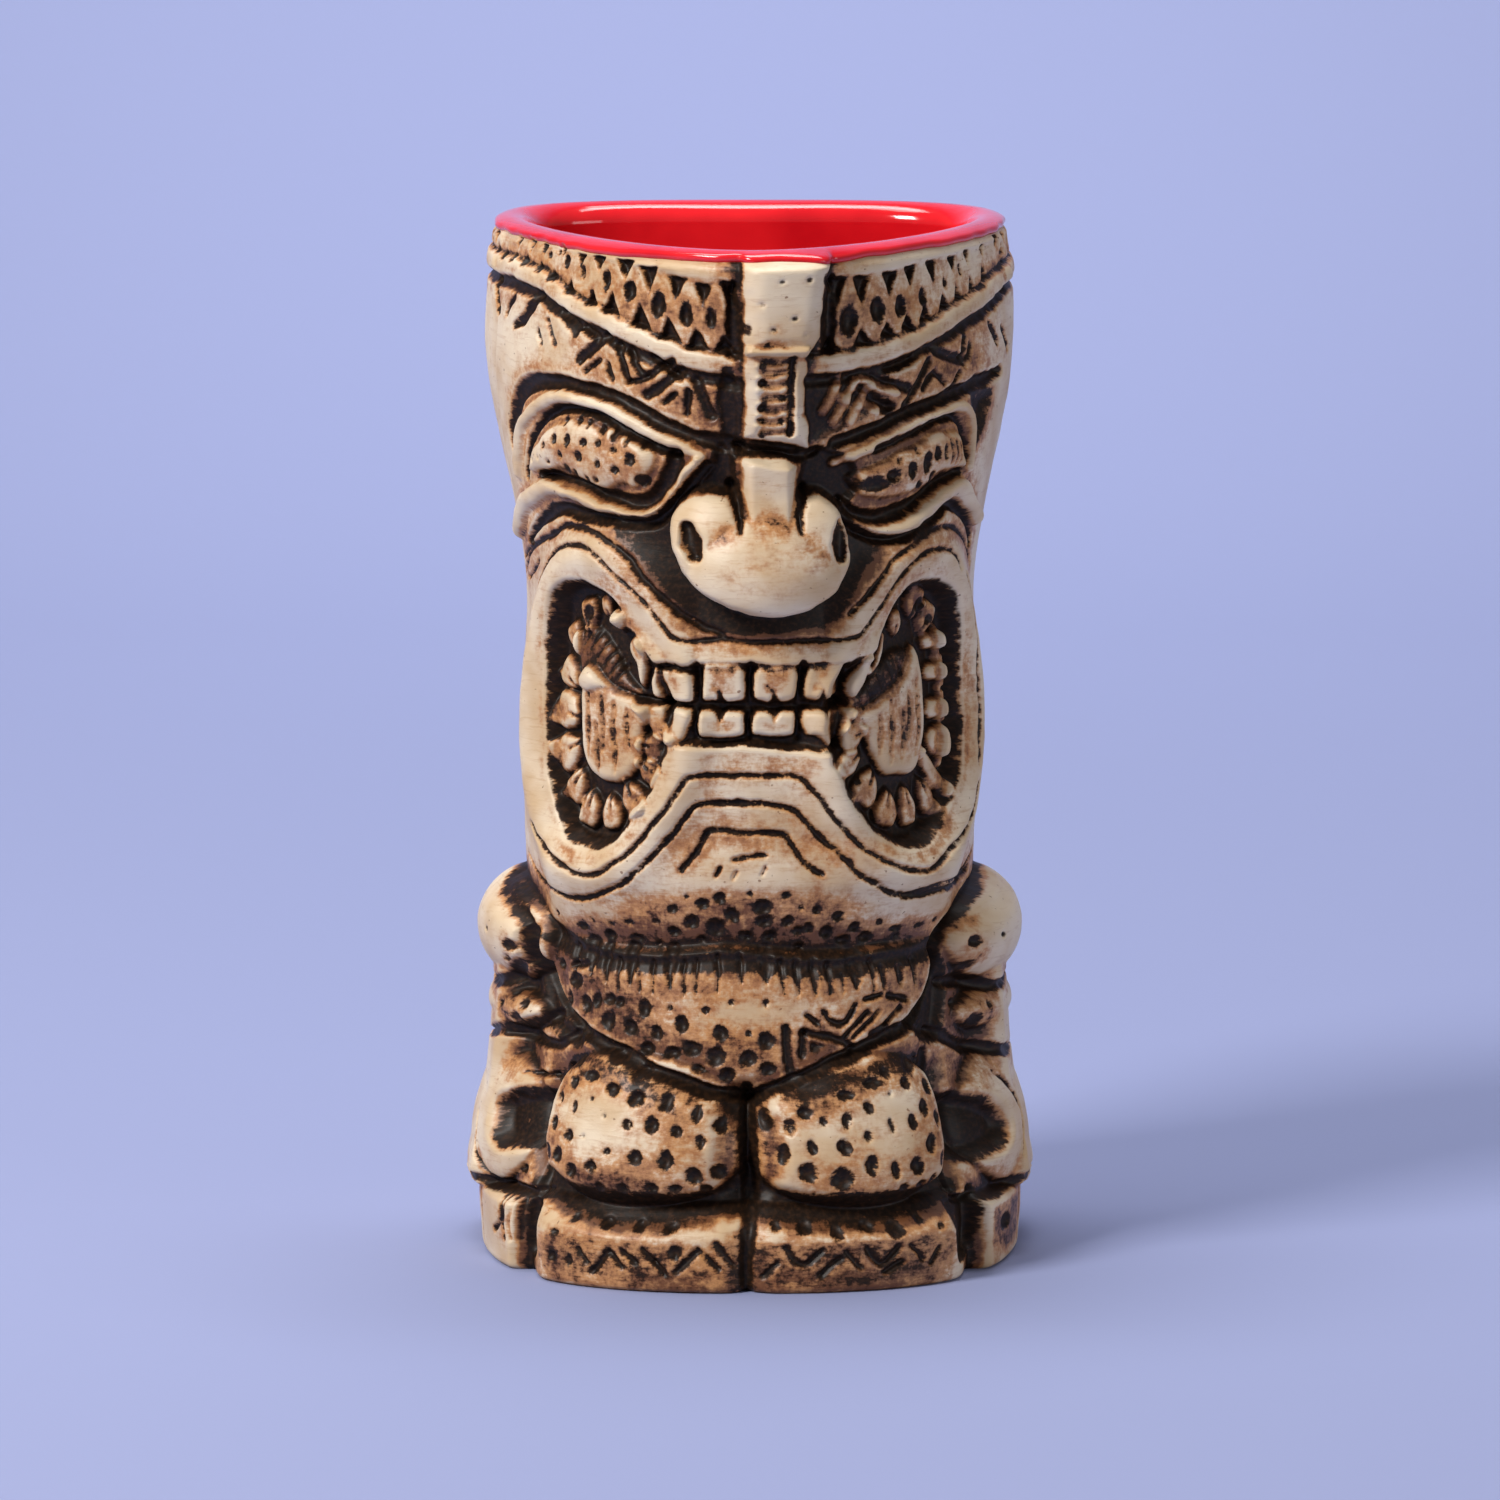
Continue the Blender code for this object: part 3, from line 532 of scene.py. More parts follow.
def nose():
    """The bulb, its two wings and the bridge."""
    outline = [(-9.5, 136.4), (-12.2, 134.6), (-12.9, 131.1), (-12.5, 127.5), (-11, 123.8),
               (-9.1, 121.1), (-6.4, 118.8), (-2.7, 117), (0.9, 115.9), (4.5, 115.5), (7.8, 116.1),
               (9.9, 117.3), (12.8, 119.3), (14.6, 122), (15.8, 124.7), (15.6, 128), (14.9, 131.6),
               (13.3, 134.6), (10.8, 136.5), (9, 136.6), (7.9, 137.6), (7.9, 142), (2.5, 143.4),
               (-2.4, 142.6), (-2.4, 138.4), (-3.4, 136.8), (-6.8, 136.9)]
    place, inward = inside_distance(outline, 3.0)
    x, y = ALONG[place], UP[place]
    bulb = 10.9 * np.sqrt(np.clip(1 - ((x - 2.0) / 14.2) ** 2 - ((y - 123.4) / 11.2) ** 2, 0, 1))
    left = 8.0 * np.sqrt(np.clip(1 - ((x + 5.2) / 9.4) ** 2 - ((y - 126.6) / 10.8) ** 2, 0, 1))
    right = 8.0 * np.sqrt(np.clip(1 - ((x - 9.4) / 8.2) ** 2 - ((y - 126.6) / 10.8) ** 2, 0, 1))
    bridge = (5.6 + 2.2 * soft(y, 138, 126)) * soft(np.abs(x - 2.9), 5.6, 2.4) * soft(y, 145, 142.5)
    form = np.maximum(np.maximum(bulb, bridge), np.maximum(left, right))
    edge = np.clip(inward / 1.6, 0, 1)
    RELIEF[place] += np.maximum(form, 1.4) * np.sqrt(1 - (1 - edge) ** 2)
    INK[place] *= 1 - 0.97 * soft(inward, 0.1, 1.2)
    for points in ([(-3, 138), (-2.2, 135), (-1.4, 132.4), (-1.1, 130.6)],
                   [(8.4, 137.4), (7.7, 135), (7.2, 132.4), (7.2, 130.2)]):
        groove(points, [0.9, 0.8, 0.6, 0.3], 1.5, 0.85)
    groove([(-9.2, 131), (-8.5, 128.7), (-7.9, 126.4)], [1.3, 2.1, 1.3], 2.3, 0.9)
    groove([(13.5, 131.4), (13.1, 128.4), (13.4, 125.6)], [1.0, 1.7, 1.1], 2.2, 0.95)
    wash([(-11, 133), (-3, 134), (8, 134), (14, 132), (15, 125), (10, 118.6), (0, 117), (-9, 121)],
         0.36, 3.0)
    wash([(-11.8, 134), (-6.4, 132), (-5.4, 126), (-8, 122), (-12, 125)], 0.3, 1.6)
    # Painted shade: the underside of the nose darker, turned away from the light.
    wash([(-12, 125), (-4, 119.6), (4, 118.4), (12, 121.6), (15.4, 127), (14, 119), (4, 115),
          (-8, 118)], 0.5, 2.4)
    # Painted shade: the right side of the nose darker, turned away from the light.
    wash([(11.2, 133), (15, 133), (15.6, 124), (12, 123.5)], 0.42, 1.3)
    wash([(-1.5, 142.5), (7.5, 142), (7.2, 139.6), (-1, 140)], 0.4, 1.2)


def cheeks():
    """The lines that run round the cheeks, and the dark under the nose."""
    wash([(-24, 129.4), (-20, 130.6), (-13, 131), (-12.4, 125), (-8, 119), (0, 115.6), (6, 115.4),
          (14.4, 121), (16, 130), (20, 128.4), (24, 127.6), (22, 125.6), (18.6, 121.6), (15.6, 116.6),
          (12, 114), (0, 112.6), (-6, 113.2), (-12, 117.6), (-16, 122), (-20, 126.2)], 0.98, 0.9)
    for points, width in (
        ([(-62, 117.5), (-55.5, 120.6), (-50, 123.4), (-45, 124.9), (-40, 126.7), (-36.4, 128.4),
          (-32.7, 128.8), (-29.1, 128.8), (-25.5, 127.7), (-22.3, 126.3), (-20, 124.7), (-17.7, 122),
          (-14.5, 118.8), (-11.8, 116.3), (-10, 115.2), (-7, 113.4), (-4.4, 112.2)],
         [0.5, 0.6, 0.55, 0.7, 0.6]),
        ([(-45.2, 113.5), (-44.4, 116.1), (-42.7, 119.3), (-40, 122), (-37.3, 124.3), (-34.1, 125.6),
          (-30.9, 126.2), (-28.2, 125.6), (-24.5, 123.4), (-20.9, 120.6), (-17.3, 117.2),
          (-14.4, 114.3), (-11.2, 111.5), (-4, 111.4), (4, 111.3), (12, 111.3), (17.4, 111.5),
          (19, 112.5), (20.5, 114.5), (23.3, 117.9), (26, 121.1), (28.7, 123.1), (31.5, 124.5),
          (35.1, 124.8), (38.3, 124.3), (40.5, 122.9), (41.9, 120.6)], 0.5),
        ([(-60, 120.5), (-50, 124)], 0.4), ([(-57, 117), (-50, 119.5), (-47, 121)], 0.4),
        ([(16, 115.6), (18.7, 118.1), (21.5, 121.1), (24.2, 123.8), (26.9, 125.6), (30.5, 126.8),
          (33.7, 127.9), (36.9, 128.4), (39.6, 128.1), (43.3, 127.2), (49, 124), (54, 120)], 0.55),
        ([(44.6, 119.5), (46.9, 116.1), (48.3, 112.9), (48.9, 108), (49.2, 102), (49, 94), (48, 86)],
         0.45),
    ):
        groove(points, width, 0.85, 0.92)
    clean([(-10.5, 113), (-3, 112.6), (-3, 112), (-10, 111.9)], 0.8, 0.4)
    clean([(1, 112.8), (5.5, 112.6), (12, 113.6), (15.6, 114.8), (16, 113), (6, 112.2), (1, 112.1)],
          0.95, 0.35)
    wash([(24, 127.4), (20, 123), (18.4, 119), (21, 121)], 0.5, 1.0)
    wash([(-56, 128), (-50, 127), (-46, 126.4), (-50, 124.4), (-58, 124)], 0.35, 1.6)


def tooth(x, y, wide, tall):
    """One square tooth of the bite."""
    a, b = wide / 2, tall / 2
    lump([(x - a, y - b * 0.7), (x - a * 0.92, y + b * 0.8), (x - a * 0.3, y + b), (x + a * 0.4, y + b),
          (x + a * 0.95, y + b * 0.75), (x + a, y - b * 0.7), (x + a * 0.4, y - b),
          (x - a * 0.4, y - b)],
         2.1, 1.1, 0.95)


def fang(x, y, to_x, to_y, length, width):
    """A tooth of the ring: rounded at its root, with its tip towards (to_x, to_y)."""
    run = math.hypot(to_x - x, to_y - y)
    u, v = (to_x - x) / run, (to_y - y) / run
    outline = []
    for ahead, aside in ((-0.5, 0.2), (-0.42, 0.42), (-0.05, 0.52), (0.3, 0.34), (0.56, 0.07),
                         (0.5, -0.1), (0.24, -0.36), (-0.1, -0.5), (-0.42, -0.4), (-0.5, -0.15)):
        forward, sideways = ahead * length, aside * width
        outline.append((x + forward * u - sideways * v, y + forward * v + sideways * u))
    lump(outline, 2.0, 1.7, 0.96)
    groove([(x + 0.1 * length * u, y + 0.1 * length * v), (x + 0.5 * length * u, y + 0.5 * length * v)],
           [0.3, 0.42], 0.6, 0.8)


def mouth():
    """The open mouth: two lobes joined by a bite, tongues, and teeth all round."""
    sink(LEFT_LOBE, 3.6, 2.4, 0.95)
    sink(RIGHT_LOBE, 3.6, 2.4, 0.95)
    sink([(-16, 107.4), (-9.8, 107.5), (0, 107.9), (4.2, 107.6), (12, 107.5), (16.5, 107.3), (17, 100),
          (15, 92), (11, 91.6), (6, 92), (3, 92.6), (-5, 92.7), (-12, 92.7), (-14.5, 96)], 2.6, 1.4,
         0.95, False)
    for line in (
        [(-33, 103), (-32.6, 97), (-32, 91), (-29.8, 86.6), (-26.2, 85.4), (-22, 86.2), (-19.4, 88.8),
         (-18.4, 92.9), (-17.6, 96.5), (-17.6, 100), (-22, 100.9), (-26.2, 102.6), (-30, 105.6)],
        [(16.8, 97.9), (20.5, 99), (24.6, 101), (28.4, 103.6), (30.8, 107.2), (32.6, 108.4),
         (34, 104.7), (34.4, 99.6), (34.2, 94), (33.4, 90), (31.9, 87.2), (29.6, 86.2), (26.6, 86.4),
         (23.6, 87), (21.6, 89.6), (20.4, 92.4), (19.2, 95.2)],
    ):
        lump(line, 2.3, 1.9, 0.9)
    lump([(-35.4, 110), (-31.4, 112), (-27, 109.4), (-22.4, 104.4), (-18.6, 100.8), (-26, 101.6),
          (-31, 101), (-34.4, 103.6)], 1.5, 2.4, 0.5)
    for x, y in ((-33.4, 108.6), (-31.6, 107.8), (-29.8, 106.4), (-28, 105.2), (-26.4, 104),
                 (-24.8, 103)):
        groove([(x + 2.4, y + 2.6), (x + 0.6, y)], [0.5, 0.25], 0.5, 0.9)
    for x, top, bottom in ((-30.2, 101, 89), (-28, 97, 86.6), (-26.9, 101, 91), (-24.4, 100, 87.4),
                           (-21.6, 99.6, 92)):
        groove([(x, top - 1.5 * math.sin(5 * x) ** 2), (x + 0.4, (top + bottom) / 2),
                (x + 0.5, bottom)],
               [0.3, 0.8, 0.2], 0.45, 0.56)
    for x, top, bottom in ((23, 98, 90), (25.4, 101, 88.6), (28, 99, 89), (29.4, 103, 93),
                           (31.6, 104, 90)):
        groove([(x, top - 1.5 * math.sin(7 * x) ** 2), (x + 0.2, (top + bottom) / 2),
                (x - 0.4, bottom)],
               [0.3, 0.75, 0.2], 0.45, 0.54)
    wash([(-33, 104), (-20, 100), (-20, 92), (-24, 86), (-31, 90)], 0.16, 2.4)
    wash([(20, 98), (31, 105), (33.6, 98), (30, 87), (24, 88)], 0.14, 2.4)
    lump([(15.2, 99.4), (20, 103), (24, 106.6), (28, 108.2), (31, 107.4), (28, 102.6), (22, 99.2),
          (17.8, 98)],
         1.5, 2.0, 0.2)
    for x, y in ((18.5, 101.4), (20.6, 102.8), (22.8, 104.6), (25.2, 106), (27.6, 106.6)):
        groove([(x, y), (x + 1.2, y - 2.8)], [0.25, 0.35], 0.4, 1.0)
    ring = (
        (-36, 109.3, 3.6, 4.6), (-37, 102.8, 5, 4.4), (-36.9, 96.4, 4.6, 5.6), (-36.2, 89.6, 5.4, 5.4),
        (-34, 83.9, 4, 4.8), (-30.5, 80.3, 4.2, 4.4), (-25.2, 80.3, 4, 4.8), (-20.4, 83.2, 4.4, 5.2),
        (-17.5, 88.4, 4, 3.7), (-17, 92.4, 3.2, 4), (-23.7, 113.2, 3, 3), (-27.5, 115.2, 2.6, 3.6),
        (-32, 113.6, 3.6, 4.2), (33, 115.6, 4, 4.4), (28, 112.6, 2.8, 4), (36.6, 112.6, 4.4, 3.8),
        (24.6, 80.9, 4.4, 4.6), (29.6, 80.8, 3.4, 6), (34.8, 82, 3.4, 6), (20.2, 85, 4.6, 4.8),
        (16.8, 89.8, 4.6, 3.6), (17.6, 94.2, 3.2, 4.2),
    )
    for x, y, wide, tall in ring:
        middle = (-27, 95) if x < 0 else (28, 97)
        size = 1.32 * math.hypot(wide, tall) / 1.414
        sideways = abs(x - middle[0]) > abs(y - middle[1])
        fang(x, y, *middle, size * 1.08, (tall if sideways else wide) * 1.32)
    pits((-31.6, 114, 1.1, 1.3), (33.8, 115, 0.9, 1.3), (36.8, 112, 1.2, 0.8), (18.2, 86.4, 0.6, 0.8),
         depth=0.9)
    wash([(-34, 115.6), (-29.6, 115.6), (-30, 111.6), (-34, 111.6)], 0.55, 1.0)
    wash([(30, 117), (38, 114), (36, 110.8), (31, 112)], 0.3, 1.0)
    lump([(38.6, 110.6), (40.6, 110.4), (42, 105), (42.2, 98), (41.6, 91), (39.8, 86), (37.6, 88),
          (38.8, 94), (38.9, 102)], 1.9, 1.4, 0.85)
    for low, high in ((107.2, 109.9), (101.8, 104.6), (95.2, 98.4), (88.8, 93.6)):
        lump([(34.9, (low + high) / 2), (36.4, high), (40, high), (40, low), (36.4, low)], 1.9, 1.1,
             0.9)
    lump([(32.6, 90.4), (34.6, 90.2), (40.6, 84), (39.6, 81.4), (37.6, 81.8), (33.4, 86.6)], 2.0, 1.3,
         0.9)
    for slit in ([(40.6, 106.4), (42.2, 106.2)], [(40.6, 100), (42.4, 100)], [(40.2, 94.2), (42, 94)]):
        groove(slit, 0.4, 0.8, 0.9)
    lump([(-21.3, 110.6), (-21.6, 108.5), (-20, 106), (-18.8, 103), (-18, 102.4), (-17.4, 104.5),
          (-17.5, 107.5), (-18, 109.8), (-19, 111)], 2.6, 1.3, 0.95)
    lump([(16.3, 103.3), (18.3, 106.6), (20.4, 108.2), (21.4, 106.8), (20, 103.5), (18.6, 101.6),
          (17.5, 100.8), (16.4, 101.6)], 2.6, 1.3, 0.95)
    ridge([(24.4, 110.6), (23.7, 108.5), (22.4, 106.2), (21, 105)], 0.8, 1.8, 0.9)
    for left, right, low, high in ((-16.4, -9.1, 100.6, 106), (-7.6, -0.8, 100.9, 107),
                                   (0.8, 7.6, 101, 106.8), (9, 15.3, 101.1, 106.6)):
        tooth((left + right) / 2, (low + high) / 2, right - left + 0.5, high - low + 0.5)
        x = (left + right) / 2 - 0.3
        wedge(x, low - 0.6, low + 2.1, 2.5, 1.5, 0.95)
        groove([(x, low + 1.6), (x - 0.9, low + 2.7)], 0.3, 0.5, 0.8)
        # Painted shadow: a dark strip along the top of each upper tooth, under the upper lip.
        wash([(left, high + 0.4), (right, high + 0.4), (right, high - 1.2), (left, high - 1.2)], 0.62,
             0.7)
    lump([(-20.2, 99.3), (-9.6, 99.5), (-9.8, 96), (-10.7, 93.8), (-12.6, 93.1), (-14.4, 93.1),
          (-16.6, 94.7), (-18.5, 97.2)], 2.1, 1.2, 0.95)
    lump([(8.7, 99), (17.6, 99), (18, 97.4), (16.9, 96.3), (15.1, 94.5), (12.8, 92.9), (11, 94.5),
          (9.4, 95)], 2.1, 1.2, 0.95)
    tooth(-4.6, 96.9, 8.0, 5.0)
    tooth(4.05, 96.9, 7.6, 4.9)
    for x in (-13.2, -5, 3.7, 12.2):
        wedge(x, 99.8, 97.0, 2.7, 1.5, 0.95)
    for x in (-8.4, 0.2, 8.3):
        groove([(x, 107.4), (x, 101)], 0.7, 0.8, 1.0)
        groove([(x - 0.3, 99.3), (x - 0.3, 94.4)], 0.7, 0.8, 1.0)
    groove([(-20, 100.3), (-8, 100.2), (4, 100), (16.5, 100)], 0.75, 0.9, 1.0)
    wash([(-14, 111), (-4, 110.8), (12, 110.8), (18, 111.6), (17, 108), (0, 107.6), (-15, 107.6)], 0.2,
         1.4)


def chin():
    """Lines round the mouth, the chin's beard dots and its edge."""
    for points, width, ink in (
        ([(-42.6, 76.6), (-39.8, 74.7), (-37.1, 73.1), (-33.9, 71.5), (-30.3, 70.2), (-26.6, 70),
          (-23.9, 70.6), (-20.7, 73.1), (-18, 76.1), (-15.3, 79.3), (-12.5, 82.9), (-10.3, 87),
          (-9.2, 88.1), (-5, 88.2), (0, 88.1), (4.2, 88.1), (7.6, 87.9), (9.2, 86.1), (11.5, 83.4),
          (14.2, 79.7), (16.9, 76.5), (20.1, 73.8), (23.3, 71.8), (26.9, 70.4), (30.5, 70.6),
          (34.2, 72.2), (37.8, 73.8), (41.5, 75.6), (45, 78.6), (47.6, 83)], 0.52, 0.95),
        ([(-55.2, 69.3), (-50.2, 67.7), (-46.1, 66.3), (-42.5, 65.8), (-36.5, 65.9), (-32.9, 65.3),
          (-30.2, 65.2), (-26.5, 66.1), (-22.9, 67.5), (-19.7, 69.5), (-18, 71.5), (-15.3, 74.3),
          (-12.5, 77.5), (-10.3, 80.6), (-8.4, 82.9), (-5.3, 83.4), (0, 83.4), (2.4, 83.2), (6.7, 82.2),
          (8.7, 80.4), (11.5, 77.2), (14.6, 74.3), (17.1, 71.1), (19.8, 69.3), (23.5, 67), (27.1, 66.8),
          (29.8, 67.2), (34.4, 67.5), (39.8, 67.5), (45.3, 67.2), (50.3, 68.6), (56.6, 70.2)],
         [0.2, 0.55, 0.55, 0.55, 0.55, 0.2], 0.97),
        ([(-11, 71.5), (-8.9, 74.3), (-7.1, 77.9), (-5.6, 78.6), (0, 78.4), (5.1, 78.1), (6.2, 77),
          (7.8, 74.3), (9.6, 72.5), (11.5, 70.9)], 0.52, 0.97),
        ([(-5.3, 70.6), (-4.6, 72.2)], 0.4, 0.7), ([(-2.8, 73.6), (0.2, 74.3), (2.5, 74.4)], 0.45, 0.8),
        ([(-2.6, 70.4), (-2.2, 71.6)], 0.3, 0.45), ([(2, 71), (2.6, 72.4)], 0.25, 0.35),
        ([(26, 66.2), (34, 66.2), (42, 66.2), (51, 67)], 0.8, 0.9),
        ([(-47, 80), (-48.6, 88), (-49, 98), (-48.4, 108)], 0.35, 0.5),
    ):
        groove(points, width, 0.9, ink)
    wash([(-15, 67), (15, 66.6), (19, 58.6), (-19, 58.4)], 0.4, 2.2)
    wash([(-33, 62.4), (-15, 63), (-15, 58), (-33, 58.6)], 0.22, 1.6)
    wash([(15, 63), (33, 62), (33, 58.4), (15, 58)], 0.24, 1.6)
    pits((-31, 60, 1.3, 0.7), (-25.3, 59, 1.4, 1), (-20, 59, 1.2, 0.7), (-16, 58.3, 0.8, 0.5),
         (-28, 61.5, 0.4), (-24.5, 61.3, 0.7, 0.4), (-20.8, 61.8, 0.9, 0.6), (-16, 62.5, 0.8, 0.5),
         (-13.2, 60.7, 1.2, 1), (-10, 62.5, 1.4, 1.3), (-13, 64.9, 0.9, 0.7), (-7.8, 65.7, 1.2, 1),
         (-10.5, 67, 0.5), (-5, 66.8, 1.2, 1), (-3, 63.8, 1.5, 1.3), (-5.8, 61.5, 1.9, 1.6),
         (-0.6, 60.3, 1.4, 1), (-0.2, 67.5, 0.6), (2, 65.3, 1.6, 1.4), (5.8, 67.2, 1, 0.6),
         (2.5, 63, 1.6, 1.1), (6.2, 62.7, 1.1), (3.5, 60.2, 1.3, 1), (8, 60.9, 1.2, 0.8), (10, 61.5, 1),
         (11, 64.5, 0.9, 0.8), (13.3, 60.6, 1.3, 1.1), (15, 63.5, 1), (16.5, 59, 1.5, 1),
         (18, 61.2, 1.1, 0.9), (20.5, 59.3, 1.3, 1), (22.5, 61.8, 0.8, 0.7), (26, 60, 1.3, 0.7),
         (31, 60.1, 1, 0.5), (27, 58.5, 0.9, 0.5), (8.5, 58.3, 1, 0.8), (8.4, 64.9, 0.6, 0.5),
         (-8.6, 59.4, 0.8, 0.6), (35.5, 60.6, 0.8, 0.5), (-37, 61.6, 0.8, 0.5), depth=1.1, size=0.92)


def beard():
    """The beard under the chin: dark at its top, stroked, pitted, and cut on its right."""
    # Painted shade, partly stain: the dark top band of the beard, in the shadow of the overhanging
    # chin.
    wash([(-43, 58), (-28, 56.6), (0, 57.6), (30, 56.8), (38, 59), (34, 53.4), (0, 53.9), (-34, 53.6)],
         0.97, 1.0)
    for x, top, bottom, width in (
        (-1.8, 57, 52, 1), (-5.5, 57, 50.6, 0.8), (-9.2, 56, 50.2, 0.55), (-11.2, 55.5, 49.8, 0.6),
        (-13.5, 57, 51.2, 2.2), (-16.4, 55.5, 49.8, 0.6), (-18.6, 53, 49.8, 0.5), (-20.5, 57, 51, 2.2),
        (-23, 55, 50.2, 0.6), (-25.5, 57, 50.8, 1.6), (-29, 57, 51.6, 2.6), (-33, 56, 51, 1.4),
        (2.5, 57, 52, 2.6), (5.2, 56, 50.4, 0.9), (7.6, 56, 49.8, 1.1), (10.5, 55.5, 50, 1.5),
        (13.2, 55, 49.8, 1.1), (15.5, 53, 50, 0.5), (18, 56, 50.4, 3), (21, 55, 49.8, 0.7),
        (23, 53.5, 50, 1), (26.5, 53, 50, 1.7), (30, 54, 50, 1.4),
    ):
        groove([(x, top), (x + 0.1, (top + bottom) / 2), (x + 0.2, bottom)],
               [width * 0.62, width * 0.5, 0.2], 0.7, 1.0)
    wash([(-30, 52.4), (28, 52), (26, 49.4), (-28, 49.4)], 0.25, 1.8)
    wash([(-40, 54), (-20, 52), (-14, 38), (-26, 41.6), (-38, 46)], 0.5, 3)
    wash([(-16, 42), (-4, 44), (4, 40), (-3, 34), (-12, 37.4)], 0.4, 2.4)
    wash([(22, 50), (36, 53), (32, 45.6), (24, 43.4)], 0.42, 2.4)
    pits((-37.5, 52.5, 1.4, 0.9), (-32.5, 50.3, 1.8, 1.3), (-29.7, 46.7, 1.4), (-27.2, 47.7, 0.9, 1.3),
         (-24.5, 48.3, 1.3, 1), (-22.3, 48, 0.9, 1), (-17.5, 47.2, 1.1, 1.5), (-24.4, 44.6, 1.4, 1.7),
         (-20, 43.7, 1.3, 1.2), (-15.3, 43.3, 1, 1.1), (-11, 44.8, 1.1, 1.4), (-7.3, 47.5, 0.6, 0.8),
         (-4.8, 43.7, 1, 1.3), (-3, 48.8, 0.5, 0.7), (-0.3, 43.6, 0.6), (-17, 40.5, 1.2, 1),
         (-12.8, 40.3, 1.2, 1), (-9.6, 41, 1.5, 1.3), (-5.7, 39.6, 1.6, 1.7), (-3.5, 36.5, 1.4, 1.3),
         (-0.5, 39.4, 1.4), (2.5, 42.4, 1.3, 1.4), (2.8, 37.5, 1.3), (2.4, 48.5, 0.5, 0.8),
         (-34.6, 47, 1, 1.2), (-8.4, 37.4, 1, 0.8), (-13.4, 47.8, 0.5, 0.7))
    for points, width in (
        ([(5.6, 44.5), (5.9, 41), (6.2, 37)], 0.85), ([(8.5, 43.8), (15, 41.8), (17, 40.3)], 0.75),
        ([(8.5, 43.8), (8.3, 39.5)], 0.75), ([(12.3, 47), (13.5, 45.3), (15.5, 44.7), (18, 47.7)], 0.6),
        ([(15.8, 42.5), (20, 46.5)], 0.5), ([(17.2, 42), (22, 46.5)], 0.45),
        ([(9, 46.6), (11, 45)], 0.5), ([(20.4, 42.4), (23.4, 44)], 0.7),
        ([(23.4, 44.2), (26.6, 46.6)], 0.6), ([(24, 48.8), (28, 47.6)], 0.7),
        ([(19.6, 48.4), (22.6, 49.2)], 0.5), ([(-33.6, 52.8), (-30.2, 53.2)], 0.7),
    ):
        groove(points, width, 0.9, 0.97)
    sink([(9.3, 42.2), (12.9, 41.2), (9.7, 39.7)], 0.9, 0.6, 0.95, False)
    wash([(5, 46), (26, 47), (22, 42), (12, 38.6), (6, 36)], 0.4, 2)
    edge = [(-44, 57.5), (-43.6, 54), (-41.4, 50), (-38, 46.6), (-34, 44.7), (-30, 43), (-26, 41.7),
            (-22, 40.8), (-18, 39.3), (-14, 37.8), (-10, 36.3), (-6, 34.8), (-2, 33.8), (0, 33.6),
            (4, 35.3), (7, 36.8), (10, 38.1), (13, 39.4), (17, 40.6), (20, 41.8), (24, 43.2),
            (28, 44.2), (31, 45.5), (34, 48), (37, 53), (38, 58)]
    groove([(s, z - 1.2) for s, z in edge], [2.2, 1.7, 1.4, 1.2, 1.1, 1.2, 1.6, 2.4], 1.9, 1.0)
    sink([(28, 44.6), (34, 50), (38.5, 57), (41, 50.5), (40, 44), (38, 39.2), (33, 39.4), (30, 41)],
         1.9, 2.4, 1.0)
    sink([(-29, 42.2), (-36, 45), (-41.5, 51), (-43.8, 56), (-46, 52), (-44, 45), (-42, 41.4),
          (-36, 38.9), (-32, 38.2)], 1.3, 2, 0.85)


